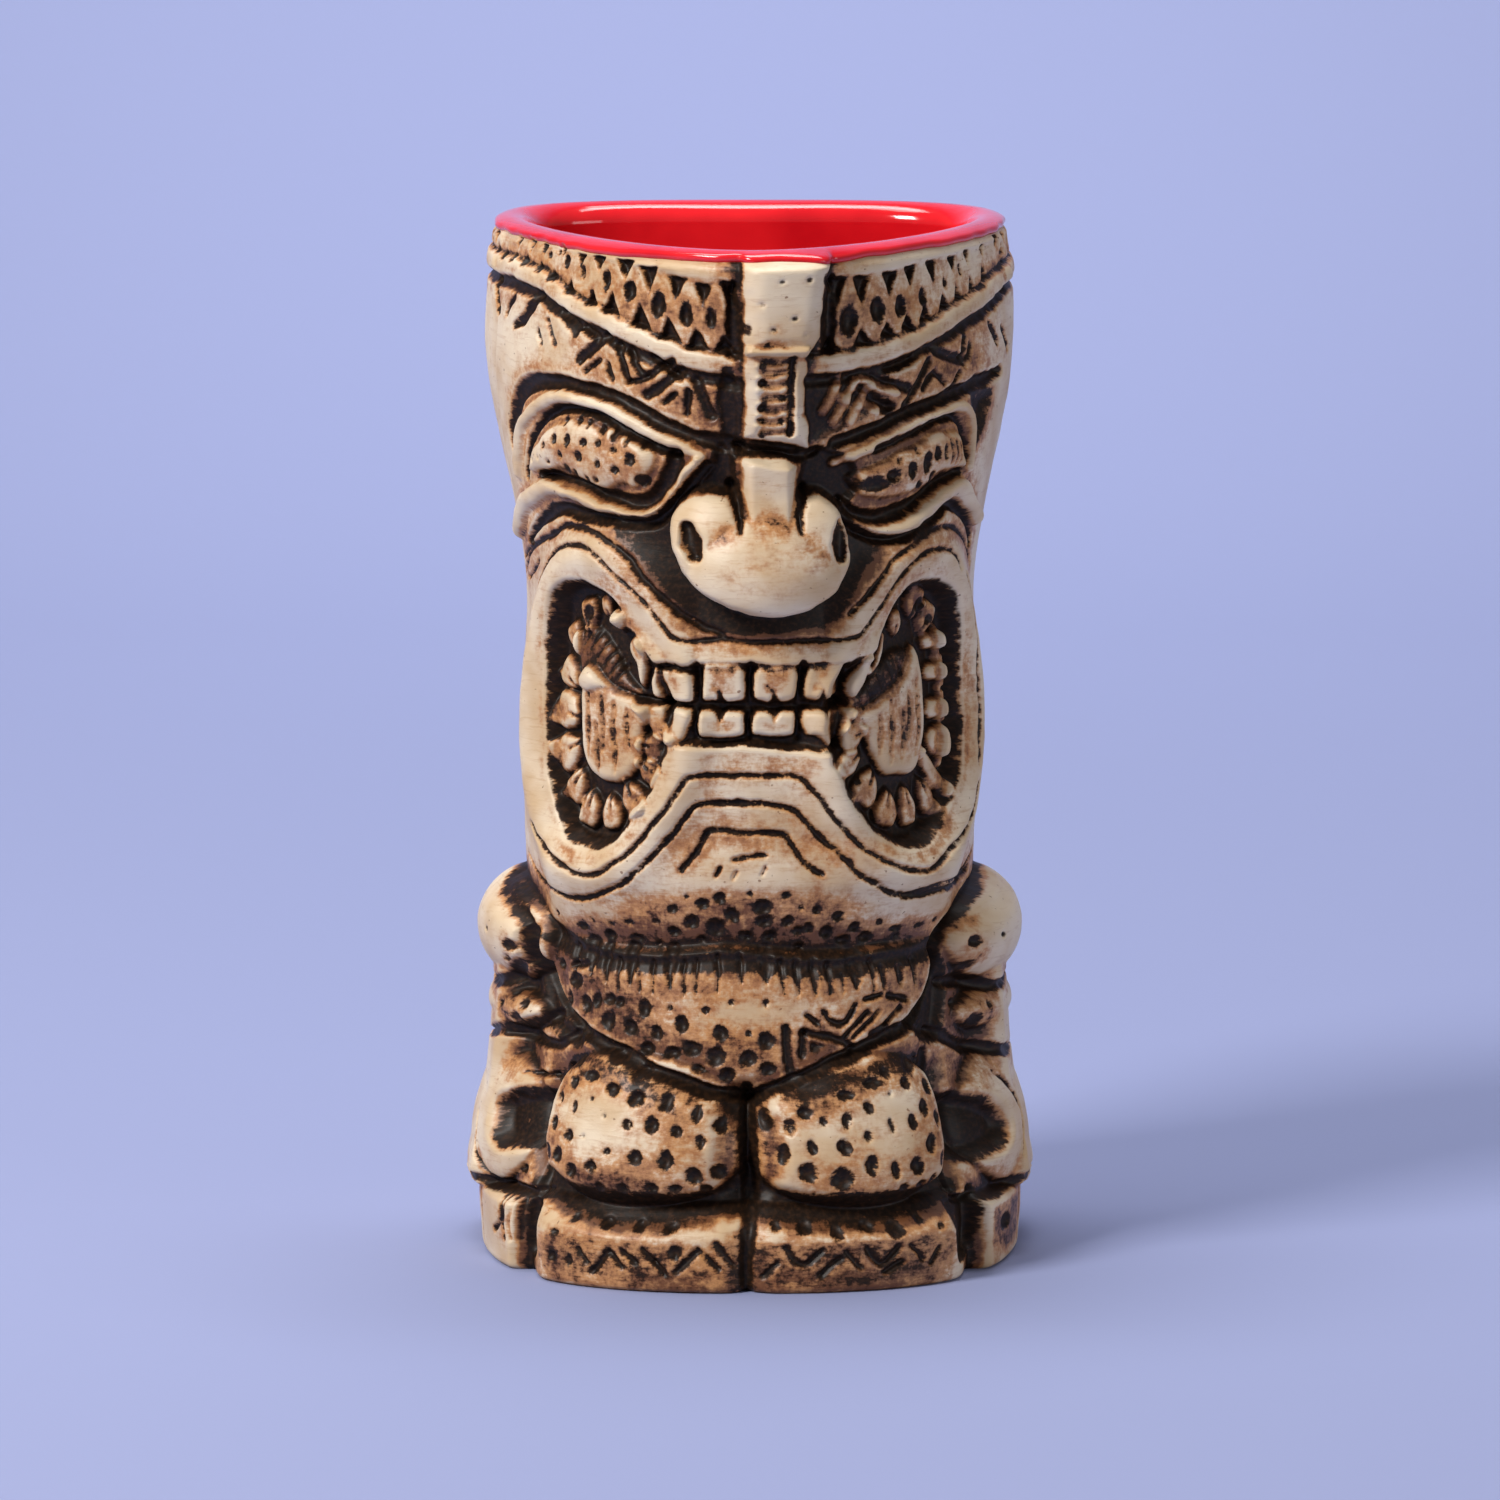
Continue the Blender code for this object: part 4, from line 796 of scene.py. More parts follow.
def arms():
    """Shoulders, elbows and the two curled hands at the sides."""
    for side, lines in (
        (-1, (([(-62, 65), (-59, 64), (-50, 61.5), (-46.5, 59.5), (-44, 56), (-43, 52)], 1.7),
              ([(-78, 48), (-60, 46.6), (-53, 47.4), (-49, 49.4), (-45.5, 52)], 1.5),
              ([(-78, 35.2), (-62, 36.7), (-55, 38.1), (-50, 39.4), (-45, 41), (-40, 43)], 1.6),
              ([(-56, 24), (-54, 18.5), (-50, 14.8), (-45, 13.4)], 0.5),
              ([(-52, 38.3), (-45, 38.4), (-38, 38.4), (-34, 40.6)], 1.5),
              ([(-45.5, 32.8), (-41, 32.7), (-38, 33.2)], 0.6),
              ([(-80, 13.4), (-60, 13.4), (-50, 13.2), (-42, 13.2), (-33, 14.2)], 1.2),
              ([(-35.6, 32), (-35, 26), (-34.8, 20), (-35, 14)], 1.5))),
        (1, (([(37, 56.5), (38.5, 59), (43, 60.8), (48, 62.8), (55, 64.4), (62, 66)], 1.7),
             ([(40, 49), (47, 48.2), (55, 46.6), (78, 48)], 1.5),
             ([(36, 41), (42, 38), (48, 36.4), (55, 34.8), (62, 34.4), (78, 34)], 1.6),
             ([(55, 27), (55.5, 23), (53, 17)], 0.5), ([(49.5, 32), (53.5, 28.6), (55, 25)], 0.6),
             ([(33, 12.8), (42, 12.6), (52, 13), (60, 13.2), (80, 13.4)], 1.2),
             ([(32.5, 38), (32.4, 32), (31.8, 26), (32, 20), (32.6, 13)], 1.6))),
    ):
        for points, width in lines:
            taper = [0.25, width * 0.8, width * 0.8, width * 0.8]
            groove(points, taper if side < 0 else taper[::-1], 1.1, 0.93)
    palm = [(-51, 25.5), (-50, 28.4), (-46.5, 30.4), (-42, 31.4), (-38, 31.2), (-35.4, 29.2),
            (-34.8, 26), (-35.5, 22.4), (-38, 20.2), (-42, 19), (-46.5, 18.8), (-49.8, 21)]
    sink(palm, 3.8, 3.6, 1.05, True, 1.6)
    clean([(-52, 27.6), (-47, 28.6), (-46.4, 26.6), (-49, 23), (-52, 22)], 0.5, 1.6)
    other = [(33, 30.2), (38, 30.8), (43, 30.2), (47.5, 28.4), (50.4, 25.6), (50.6, 22), (48.4, 18.8),
             (44, 17.4), (38.5, 17.4), (33.6, 19.2), (32.4, 24)]
    sink(other, 3.8, 3.6, 1.05, True, 1.6)
    clean([(52.4, 25), (47, 26.6), (47, 22), (51, 20)], 0.5, 1.4)
    wash([(-50, 59), (-44.5, 59), (-44.5, 55), (-49, 55)], 0.5, 1.4)
    wash([(41.5, 59), (46.5, 59), (46.5, 50), (41.5, 50)], 0.5, 1.3)
    wash([(-53, 46), (-46, 49), (-44, 44), (-50, 40), (-54, 41)], 0.6, 1.8)
    wash([(-50, 37.4), (-40, 39), (-37, 33), (-40, 31.6), (-48, 32.4)], 0.35, 1.8)
    # Painted shade: the band between the right elbow and the hand below it.
    wash([(34, 38), (44, 35.4), (50, 32), (46, 30.4), (36, 31.6)], 0.4, 1.8)
    wash([(41, 46.4), (51, 45), (50, 38.6), (41, 40)], 0.6, 1.8)
    wash([(38, 13), (50, 13), (52, 3), (38, 3)], 0.55, 1.8)
    pits((-47, 54.5, 2, 1.2), (-49, 52, 1, 0.6), (-48.5, 41.7, 1.6, 1.3), (-46.5, 44.3, 1, 0.8),
         (-52.6, 43.6, 0.7, 0.6), (-50, 45.6, 0.8, 0.5), (44, 56, 1.2, 1), (44, 51.5, 1.3, 1),
         (46, 41.5, 1.6, 1.8), (49.6, 44, 0.6, 0.6), (37, 13.5, 1.5, 1.2), (44, 7.5, 2, 1.5),
         (-40.3, 17, 1, 0.8), (42, 45.2, 0.8, 0.7), (50.5, 56, 0.6, 0.5), (-54, 56.4, 0.5))
    groove([(-41.5, 12), (-41, 9), (-42.4, 7), (-44, 6)], 0.6, 0.9, 0.95)
    for x in (-40, -38.5, -37.3):
        groove([(x, 12.4), (x - 0.2, 8), (x, 5)], 0.35, 0.6, 0.85)
    wash([(-52, 13.6), (-43, 13.6), (-43, 11.6), (-51, 11.2)], 0.85, 0.8)
    sink([(-36.6, 13), (-32.2, 13), (-31.4, 9), (-32, 4), (-35, 2.4), (-36.6, 5)], 1.6, 1.4, 1.0)
    sink([(29.6, 13.6), (37.4, 13), (38, 8), (36, 3.6), (31, 2.4), (29.4, 7)], 1.6, 1.6, 1.0)
    for x in list(range(-120, -52, 6)) + list(range(54, 122, 6)):
        groove([(x, 12), (x + 0.6, 7), (x + 0.3, 2)], [0.3, 0.6, 0.4], 0.7, 0.75)
    wash([(-126, 13), (-56, 13), (-56, 10), (-126, 10)], 0.5, 1.5, False)
    wash([(126, 13), (56, 13), (56, 10), (126, 10)], 0.5, 1.5, False)


def knees():
    """Two pitted knees over two feet."""
    left = [(-33, 33.5), (-31, 35.5), (-28, 38), (-24, 38.7), (-19, 37.8), (-15, 35.8), (-11, 33.7),
            (-7, 32), (-3, 29.5), (-1, 26), (-1, 21), (-3, 18), (-8, 16.5), (-14, 16), (-20, 16.3),
            (-26, 17), (-30, 18.8), (-33, 21)]
    right = [(1, 18), (1, 29), (2, 31), (5, 33), (9, 33.2), (13, 35.5), (17, 36.8), (21, 37.8),
             (25, 38), (29, 37.5), (31.5, 36.5), (31, 34), (30.6, 28), (30.6, 22), (29.5, 18), (26, 17),
             (20, 16.3), (14, 15.8), (8, 16.3), (3, 17.5)]
    for outline in (left, right):
        place, inward = inside_distance(outline, 6.0)
        low = -1.7 * soft(-inward, -1.6, 1.4) * soft(-inward, 7, 3.5) * soft(UP[place], 39, 33)
        RELIEF[place] += low * (UP[place] < 40)
        add_ink(place, 0.98 * soft(-inward, -0.2, 0.9) * soft(-inward, 3.2, 1.6) * soft(UP[place], 40,
                                                                                        36))
        brown = soft(inward, 8.0, 0.5) * soft(inward, -1.5, 0.0) * (0.68 + 0.3 * noise(8, 6, 41)[place])
        add_ink(place, brown * (0.75 + 0.35 * soft(UP[place], 26, 36)))
    wash([(-34, 17.2), (-1, 17.2), (-1, 13.2), (-34, 13.6)], 0.98, 0.7)
    wash([(1, 17), (31, 17), (31, 13.4), (1, 12.4)], 0.98, 0.7)
    groove([(-0.4, 34.4), (-0.2, 26), (-0.2, 16), (-0.4, 8), (-0.5, 0)], [0.8, 1.5, 1.5, 1.1, 0.9], 1.3,
           0.93)
    wash([(-33, 37), (-22, 39), (-8, 33), (-4, 28), (-8, 29.6), (-20, 34.6), (-32, 34)], 0.3, 1.6)
    wash([(3, 31), (14, 35.6), (30, 37.4), (30, 34.6), (14, 31.6), (4, 28)], 0.3, 1.6)
    wash([(-33, 22), (-22, 19.6), (-3, 20.4), (-3, 17), (-30, 18)], 0.5, 2.0)
    wash([(3, 24), (8, 19), (29, 20), (29, 17.4), (3, 17.4)], 0.5, 2.0)
    pits((-33.7, 35, 1.5, 1), (-29.2, 37, 1), (-28, 34, 1, 1.2), (-24.7, 35.5, 1.4, 1),
         (-21.5, 38.7, 1.4, 1), (-20.7, 33.8, 1.3, 1.2), (-17, 36.5, 1.5, 1.3), (-16.6, 32.7, 1.3, 1.4),
         (-12.2, 32.3, 1.3, 1.5), (-7.8, 30.5, 1, 1.5), (-4.3, 28.3, 1.1, 1.3), (-30.3, 31, 0.8, 1.1),
         (-26.7, 30.3, 0.5, 1.2), (-23.8, 32, 0.4), (-21.2, 29.5, 0.4), (-17.5, 28.5, 0.8, 0.9),
         (-14, 28.5, 0.9, 1.6), (-10.5, 27.8, 0.9, 1.2), (-7, 25.8, 0.8, 1.5), (-30.5, 26.8, 0.9, 1.2),
         (-26.8, 25.5, 0.9, 1.3), (-24, 26, 0.4), (-19.8, 23.5, 0.6, 0.8), (-15.8, 23, 0.8, 1.4),
         (-11.8, 22.7, 1, 1.8), (-31.7, 21.8, 1.2, 1.8), (-28.7, 22, 1, 1.6), (-25.8, 19.8, 1, 1.4),
         (-22.4, 20.8, 1, 1.1), (-8, 20, 1.2, 1.5), (-4.6, 20.5, 1.2, 1.4), (-21, 17.5, 1, 0.9),
         (-17.3, 17.5, 1, 0.9), (-13.5, 17.8, 1, 0.9), (-10.5, 18, 0.9, 0.8), (-6.5, 18, 0.9, 0.8),
         (2.3, 29, 1, 2), (5.7, 28, 1, 1.7), (7.8, 30.3, 1, 1.1), (8.8, 25, 0.8, 1.5),
         (10.5, 29, 0.6, 0.8), (13.8, 29.3, 0.7, 1.5), (13.2, 24.8, 1.1, 1.7), (16.5, 26.5, 0.6, 1.2),
         (17.3, 31.3, 0.9, 1.2), (20.3, 28, 0.45, 1.5), (21, 33, 0.45), (23.8, 28.2, 0.7, 1.5),
         (26.5, 30, 0.9, 1.6), (29, 27.7, 0.8, 1.8), (26.8, 24, 1, 1.7), (4.7, 23.5, 1, 2),
         (8, 20.8, 1.5, 1.8), (12.5, 19.5, 1.6, 2), (16.5, 21.5, 1, 1.8), (20, 20.5, 0.9, 1.8),
         (23.8, 20.8, 1.2, 1.8), (29.3, 21, 0.9, 1.7), (14, 33.5, 1.4, 1), (18.3, 35, 1.5, 1),
         (21.3, 36.3, 1.2, 0.9), (24.2, 34.3, 0.9, 1), (26.3, 36.5, 1.3), (30.5, 36.5, 1.2, 1.3),
         (28.5, 33, 1, 1.5), (21.5, 17.5, 1, 0.9), (24.5, 17.5, 1, 0.9), (27, 18, 0.8, 0.8), depth=1.25,
         size=0.92)


def feet():
    """The front of the feet: a row of dots over chip-carved zigzags."""
    pits((-25, 11.5, 0.7, 0.6), (-20, 11.3, 1), (-15.3, 11, 0.9), (-11, 10.8, 0.9, 0.8),
         (-10.2, 7, 0.8, 1.2), (3.7, 11.3, 0.8, 1), (7.7, 11, 0.9, 1.1), (11.8, 10, 0.9, 1.2),
         (16, 10.8, 1, 0.9), (20, 10.3, 1.3), (24, 11.5, 0.6), (-27.3, 9, 0.7, 0.5),
         (-27.8, 4.8, 0.6, 1), (-25.1, 4.5, 0.5, 1.3), (-30, 11.6, 0.6, 0.5), (27, 10, 0.6, 0.7))
    for points, width in (
        ([(-21.5, 3), (-19, 7)], 0.6), ([(-17, 7), (-15.5, 5)], 0.5),
        ([(-14.5, 7.5), (-13, 5.5)], 0.45), ([(-10, 4), (-7, 7.5)], 0.6),
        ([(-6.5, 7), (-4.5, 4.3)], 0.55), ([(-4.5, 8.5), (-2.5, 5)], 0.6),
        ([(-18.6, 6.6), (-17, 4)], 0.4), ([(-23.6, 7), (-22.4, 4.6)], 0.4),
        ([(-13, 5.4), (-11.6, 3.4)], 0.4), ([(5, 7.8), (7.2, 5), (9.8, 7.5)], 0.62),
        ([(2, 3), (4, 5.5)], 0.5), ([(9.5, 3.2), (12, 5.8)], 0.6), ([(12.8, 7), (14.7, 4)], 0.5),
        ([(15.7, 7.5), (17.5, 4.5), (20, 7.5)], 0.62), ([(18, 3), (20.5, 5)], 0.55),
        ([(22, 7.6), (23.6, 5)], 0.5), ([(25, 4), (26.6, 6.6)], 0.45),
    ):
        groove(points, width, 0.8, 0.92)
    wash([(-22, 2.8), (-1, 2.8), (-1, 0.6), (-20, 0.6)], 0.45, 0.8)
    wash([(5, 2.6), (19, 2.6), (18, 1.2), (5, 1.2)], 0.8, 0.6)
    wash([(-4, 10), (3, 10), (3, 0), (-4, 0)], 0.7, 2.4)
    wash([(-33, 3), (29, 3), (29, -1), (-33, -1)], 0.3, 2.0, False)
    wash([(-32, 12.8), (-2, 12), (-2, 8.6), (-32, 10.6)], 0.5, 2.0)
    wash([(-33, 10), (-2, 9), (-2, 1.6), (-31, 1.6)], 0.55, 2.4)
    wash([(2, 9), (29, 10), (28, 1.6), (2, 1.6)], 0.6, 2.4)
    wash([(2, 12.8), (29, 13), (29, 9.4), (2, 9)], 0.5, 2.0)
    clean([(15.1, 4.9), (15.9, 6.1), (16.7, 5), (16, 3.4)], 1.0, 0.25)


def back():
    """The back and the sides, wiped almost clean, with long chisel marks."""
    away = soft(np.abs(ALONG), 56, 74)
    chisel = np.abs(noise(5, 60, 21)) * noise(9, 26, 22)
    upper = away * soft(UP, 66, 74) * soft(UP, 164, 156)
    RELIEF[:] += upper * (0.35 * chisel + 0.15 * noise(14, 14, 23))
    marks = soft(noise(1.6, 26, 24) + 0.5 * noise(9, 40, 25), 0.75, 1.15)
    place = away * soft(UP, 66, 76) * soft(UP, 162, 152)
    RELIEF[:] -= 0.55 * marks * place
    INK[:] = np.maximum(INK, 0.55 * marks * place)
    neck = soft(np.abs(ALONG), 60, 90) * np.exp(-(((UP - 62 - neck_climb() - 1.2) / 2.2) ** 2))
    INK[:] = np.maximum(INK, 0.95 * neck)
    RELIEF[:] -= neck


def carve():
    """Draws everything in order from large forms to small, and works out the stain, some painted shade
    with it.
    """
    big_forms()
    headband()
    brow_cuts()
    eyes()
    brow_post()
    cheeks()
    mouth()
    chin()
    nose()
    beard()
    knees()
    arms()
    feet()
    back()
    RELIEF[:] += 0.05 * noise(2.2, 2.2, 11) + 0.06 * noise(7, 7, 12)
    RELIEF[:] = blur(RELIEF, 0.16)
    fine, low, wide = blur(RELIEF, 0.8) - RELIEF, blur(RELIEF, 2.2) - RELIEF, blur(RELIEF, 5.5) - RELIEF
    wide *= 1 - 0.45 * soft(np.abs(ALONG), 38, 48)
    wiped = 0.4 + 0.6 * np.clip(INK, 0, 1)
    hollow = 0.5 * np.clip(low - 0.05, 0, 1.4) + 0.32 * wiped * np.clip(wide - 0.3, 0, 3)
    hollow += 1.15 * np.clip(fine, 0, 0.8)
    proud = np.clip(-fine - 0.02, 0, 0.5) + 0.2 * np.clip(-low, 0, 1) + 0.06 * np.clip(-wide, 0, 3)
    stain = INK + hollow * (1 - 0.3 * INK) - proud * (1 - 0.7 * INK)
    stain += 0.07 * noise(7, 5, 31) + 0.05 * noise(2.4, 2.4, 32)
    stain = np.clip(stain, 0, 1.25)
    seen = np.clip(stain, 0, 1)
    halo = 1.15 * blur(seen, 0.9) + 0.85 * blur(seen, 3.2) + 0.26 * wiped * np.clip(wide, -0.6, 2.5)
    halo -= 1.7 * np.clip(-fine - 0.02, 0, 0.5)
    stain = 0.5 * stain + 0.5 * blur(stain, 0.55)
    uneven = 0.16 * noise(10, 6, 33) + 0.1 * noise(3.5, 2.5, 34)
    halo = np.clip(halo + uneven * np.clip(3 * halo, 0.25, 1) - 0.04, 0, 1.3)
    return stain, halo


def sample(field, along, up):
    """The field at these places on the drawing."""
    x = np.clip((along + HALF) / STEP, 0, field.shape[1] - 1.001)
    y = np.clip(up / STEP, 0, field.shape[0] - 1.001)
    left, low = x.astype(int), y.astype(int)
    tx, ty = x - left, y - low
    bottom = field[low, left] * (1 - tx) + field[low, left + 1] * tx
    top = field[low + 1, left] * (1 - tx) + field[low + 1, left + 1] * tx
    return bottom * (1 - ty) + top * ty


def place_points(angles, radii, heights):
    """Points in metres at these angles, radii and heights in millimetres."""
    x, y = radii * np.sin(angles), -radii * np.cos(angles)
    return np.stack([x * MM, y * MM + AXIS_Y, heights * MM], axis=-1)


def wall_angles():
    """The wall's columns, once round: fine in front, coarser behind."""
    side, s = [], 0.0
    while s < math.pi * RADIUS - 0.8:
        side.append(s)
        s += 0.28 + 0.9 * float(soft(s, 58, 80))
    side = np.array(side) * math.pi * RADIUS / (side[-1] + 0.6)
    return np.concatenate([-side[:0:-1], side]) / RADIUS


def lip_points(angles, degrees, coat):
    """The lip's ring at this many degrees over its outer side, under a coat this thick."""
    turn = np.radians(degrees)
    drawn = LIP_MIDDLE + LIP_DRAWN * np.clip(degrees / 60, 0, 1)
    carved = sample(RELIEF, angles * RADIUS, drawn + 0 * angles)
    carved = carved * (1 - soft(degrees, 18, 85))
    radii = blank_radius(angles, LIP_MIDDLE) - WALL / 2 + (WALL / 2 + coat) * np.cos(turn) + carved
    return place_points(angles, radii, LIP_MIDDLE + (LIP_RISE + coat) * np.sin(turn) + 0 * angles)


def wall_surface(angles):
    """The clay wall's points and the drawing height of each row, from the table to over the lip."""
    heights = np.arange(0.0, LIP_MIDDLE, 0.29)
    heights = heights * LIP_MIDDLE / heights[-1]
    rows = []
    for height in heights:
        radii = blank_radius(angles, height) + sample(RELIEF, angles * RADIUS, height + 0 * angles)
        if height < FOOT_ROUND:
            rise = 1 - height / FOOT_ROUND
            radii = radii - FOOT_ROUND * (1 - math.sqrt(1 - rise * rise))
        rows.append(place_points(angles, radii, height + 0 * angles))
    drawn = list(heights)
    for degrees in range(4, 104, 4):
        rows.append(lip_points(angles, degrees + 0.0, 0.0))
        drawn.append(LIP_MIDDLE + LIP_DRAWN * min(degrees / 60, 1.0))
    return np.array(rows), np.array(drawn)


def grid_mesh(name, points):
    """A mesh of rows and columns of points, facing out where columns run right and rows run up."""
    rows, columns = points.shape[:2]
    bm = bmesh.new()
    bmesh.ops.create_grid(bm, x_segments=columns - 1, y_segments=rows - 1, size=1.0)
    mesh = bpy.data.meshes.new(name)
    bm.to_mesh(mesh)
    bm.free()
    flat = np.zeros(len(mesh.vertices) * 3, np.float32)
    mesh.vertices.foreach_get("co", flat)
    flat = flat.reshape(-1, 3)
    column = np.rint((flat[:, 0] + 1) / 2 * (columns - 1)).astype(int)
    row = np.rint((flat[:, 1] + 1) / 2 * (rows - 1)).astype(int)
    mesh.vertices.foreach_set("co", points[row, column].astype(np.float32).ravel())
    return mesh, row, column


def set_attribute(mesh, name, values):
    attribute = mesh.attributes.new(name, "FLOAT", "POINT")
    attribute.data.foreach_set("value", values.astype(np.float32))


def set_map(mesh, across, upward):
    """A UV map that follows the drawing, at one scale both ways."""
    loops = np.zeros(len(mesh.loops), np.int32)
    mesh.loops.foreach_get("vertex_index", loops)
    layer = mesh.uv_layers.new(name="drawing")
    both = np.stack([across[loops], upward[loops]], axis=-1).astype(np.float32)
    layer.data.foreach_set("uv", both.ravel())


def show(mesh, name, material):
    mesh.update()
    mesh.shade_smooth()
    mesh.materials.append(material)
    piece = bpy.data.objects.new(name, mesh)
    bpy.context.scene.collection.objects.link(piece)
    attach(piece, "root")
    return piece


def build_wall(material):
    """The wall in bands, each with the normals of the whole, so that no seam shows.

    Gives back the angles of its columns and all its points, which the foot has to meet.
    """
    stain, halo = carve()
    angles = wall_angles()
    points, drawn = wall_surface(angles)
    across = np.roll(points, -1, axis=1) - np.roll(points, 1, axis=1)
    upward = np.gradient(points, axis=0)
    normals = np.cross(across, upward)
    normals /= np.linalg.norm(normals, axis=-1, keepdims=True)
    first = int(np.argmin(np.abs(angles * RADIUS + FRONT_HALF)))
    last = int(np.argmin(np.abs(angles * RADIUS - FRONT_HALF)))
    front = np.arange(first, last + 1)
    behind = np.arange(last, first + len(angles) + 1) % len(angles)
    for name, columns, low, high in (
        ("knees_and_feet", front, -1, 35), ("beard_and_arms", front, 35, 60),
        ("chin_and_lower_jaw", front, 60, 90), ("teeth_and_cheeks", front, 90, 121),
        ("nose_and_eyes", front, 121, 152), ("brow_and_headband", front, 152, 200),
        ("back_of_body", behind, -1, 60), ("back_of_head", behind, 60, 200),
    ):
        start = int(np.searchsorted(drawn, low))
        stop = min(int(np.searchsorted(drawn, high)) + 1, len(drawn))
        part = points[start:stop][:, columns]
        mesh, row, column = grid_mesh(name, part)
        along = (angles[columns] * RADIUS)[column]
        up = drawn[start:stop][row]
        unrolled = along
        if columns is behind:
            unrolled = np.where(along < -FRONT_HALF - 0.5, along + TURN, along)
        set_map(mesh, unrolled / MAP_SIZE + 0.3, up / MAP_SIZE)
        set_attribute(mesh, "stain", sample(stain, along, up))
        set_attribute(mesh, "halo", sample(halo, along, up))
        piece = show(mesh, name, material)
        mesh.normals_split_custom_set_from_vertices(normals[start:stop][:, columns][row, column])
        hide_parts("cast_body")
    return angles, points


def close_up(mesh):
    """Joins the points that meet where the rings close and at the middle."""
    bm = bmesh.new()
    bm.from_mesh(mesh)
    bmesh.ops.remove_doubles(bm, verts=bm.verts, dist=1e-7)
    bmesh.ops.dissolve_degenerate(bm, edges=bm.edges, dist=1e-8)
    bm.to_mesh(mesh)
    bm.free()


def build_foot(material, angles, wall):
    """The unglazed underside: a ring that stands on the table round a shallow recess."""
    turn = np.concatenate([angles, angles[:1] + 2 * math.pi])
    outer = np.hypot(wall[0, :, 0], wall[0, :, 1] - AXIS_Y) / MM
    outer = np.concatenate([outer, outer[:1]])
    recess = blank_radius(turn, FOOT_ROUND) - FOOT_RING
    rows = []
    for share in np.linspace(0, 1, 26):
        rows.append(place_points(turn, (recess - FOOT_RECESS) * share, FOOT_RECESS + 0 * turn))
    for share in np.linspace(0, 1, 7)[1:]:
        dip = FOOT_RECESS * (1 - math.sin(share * math.pi / 2))
        rows.append(place_points(turn, recess - FOOT_RECESS * (1 - share), dip + 0 * turn))
    ring_row = len(rows) - 1
    for share in np.linspace(0, 1, 10)[1:]:
        rows.append(place_points(turn, recess + (outer - recess) * share, 0 * turn))
    points = np.array(rows)
    mesh, row, column = grid_mesh("foot_underside", points)
    places = points[row, column]
    set_map(mesh, places[:, 0] / MM / MAP_SIZE + 0.5, places[:, 1] / MM / MAP_SIZE + 0.5)
    rim = np.clip((row - ring_row - 1) / 9, 0, 1)
    from_step = row - ring_row + 3.0
    set_attribute(mesh, "stain", 0.35 * rim**3 + 0.25 * np.exp(-((from_step / 2.2) ** 2)))
    set_attribute(mesh, "halo", 0.25 + 0.5 * rim**2 + 0.3 * np.exp(-((from_step / 3) ** 2)))
    close_up(mesh)
    piece = show(mesh, "foot_underside", material)
    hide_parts("cast_body")


def build_glaze(material):
    """The red glaze: from its brushed edge on the lip, over the top, down the inside, to the floor."""
    turn = np.linspace(-math.pi, math.pi, OUTLINE_STEPS + 1)
    around = turn * RADIUS
    brush = np.random.default_rng(7)
    start = 40 + 0 * turn  # degrees over the lip at which the brushed edge runs
    for waves in range(3, 46):
        swing = 4.2 * brush.uniform(-1, 1) / waves**0.55
        start = start + swing * np.sin(waves * turn + brush.uniform(0, 7))
    start -= 14 * np.exp(-(((around - 13) / 3.0) ** 2))
    start += 14 * np.exp(-(((around - 3) / 7.0) ** 2))
    tuck = 0.12  # how far the edge goes into the clay
    rows = []
    for share in np.linspace(0, 1, 44):
        degrees = start + (180 - start) * share**1.15
        fullness = np.sqrt(np.clip(1 - (1 - np.clip((degrees - start) / 16, 0, 1)) ** 2, 0, 1))
        rows.append(lip_points(turn, degrees, -tuck + (COAT + tuck) * fullness))
    wander = 0.25 * np.sin(2 * turn + 1) + 0.18 * np.sin(5 * turn + 2)
    for height in np.linspace(LIP_MIDDLE, FLOOR + COAT + CORNER, 46)[1:]:
        wave = wander * math.sin(height / 11) * soft(height, 172, 150)
        radii = blank_radius(turn, height) - WALL - COAT + wave
        rows.append(place_points(turn, radii, height + 0 * turn))
    foot = blank_radius(turn, FLOOR + COAT + CORNER) - WALL - COAT
    for degrees in np.linspace(0, 90, 14)[1:]:
        fall = math.radians(degrees)
        radii = foot - CORNER * (1 - math.cos(fall))
        rows.append(place_points(turn, radii, FLOOR + COAT + CORNER * (1 - math.sin(fall)) + 0 * turn))
    for share in np.linspace(1, 0, 16)[1:]:
        rows.append(place_points(turn, (foot - CORNER) * share, FLOOR + COAT + 0 * turn))
    points = np.array(rows)
    mesh, row, column = grid_mesh("red_glaze_lining", points)
    set_map(mesh, column / OUTLINE_STEPS * 0.63, row / len(rows) * 0.6)
    set_attribute(mesh, "edge", np.exp(-row / 3.0))
    # Painted shade: how far the glaze is darkened down the inside, where less light reaches.
    set_attribute(mesh, "deep", soft(row, 40, 66))
    close_up(mesh)
    piece = show(mesh, "red_glaze_lining", material)
    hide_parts("glaze_lining")


def linear(red, green, blue):
    """A colour given in everyday 0-255 values, as the shader wants it."""
    out = []
    for value in (red, green, blue):
        value /= 255
        out.append(value / 12.92 if value <= 0.04045 else ((value + 0.055) / 1.055) ** 2.4)
    return (*out, 1.0)


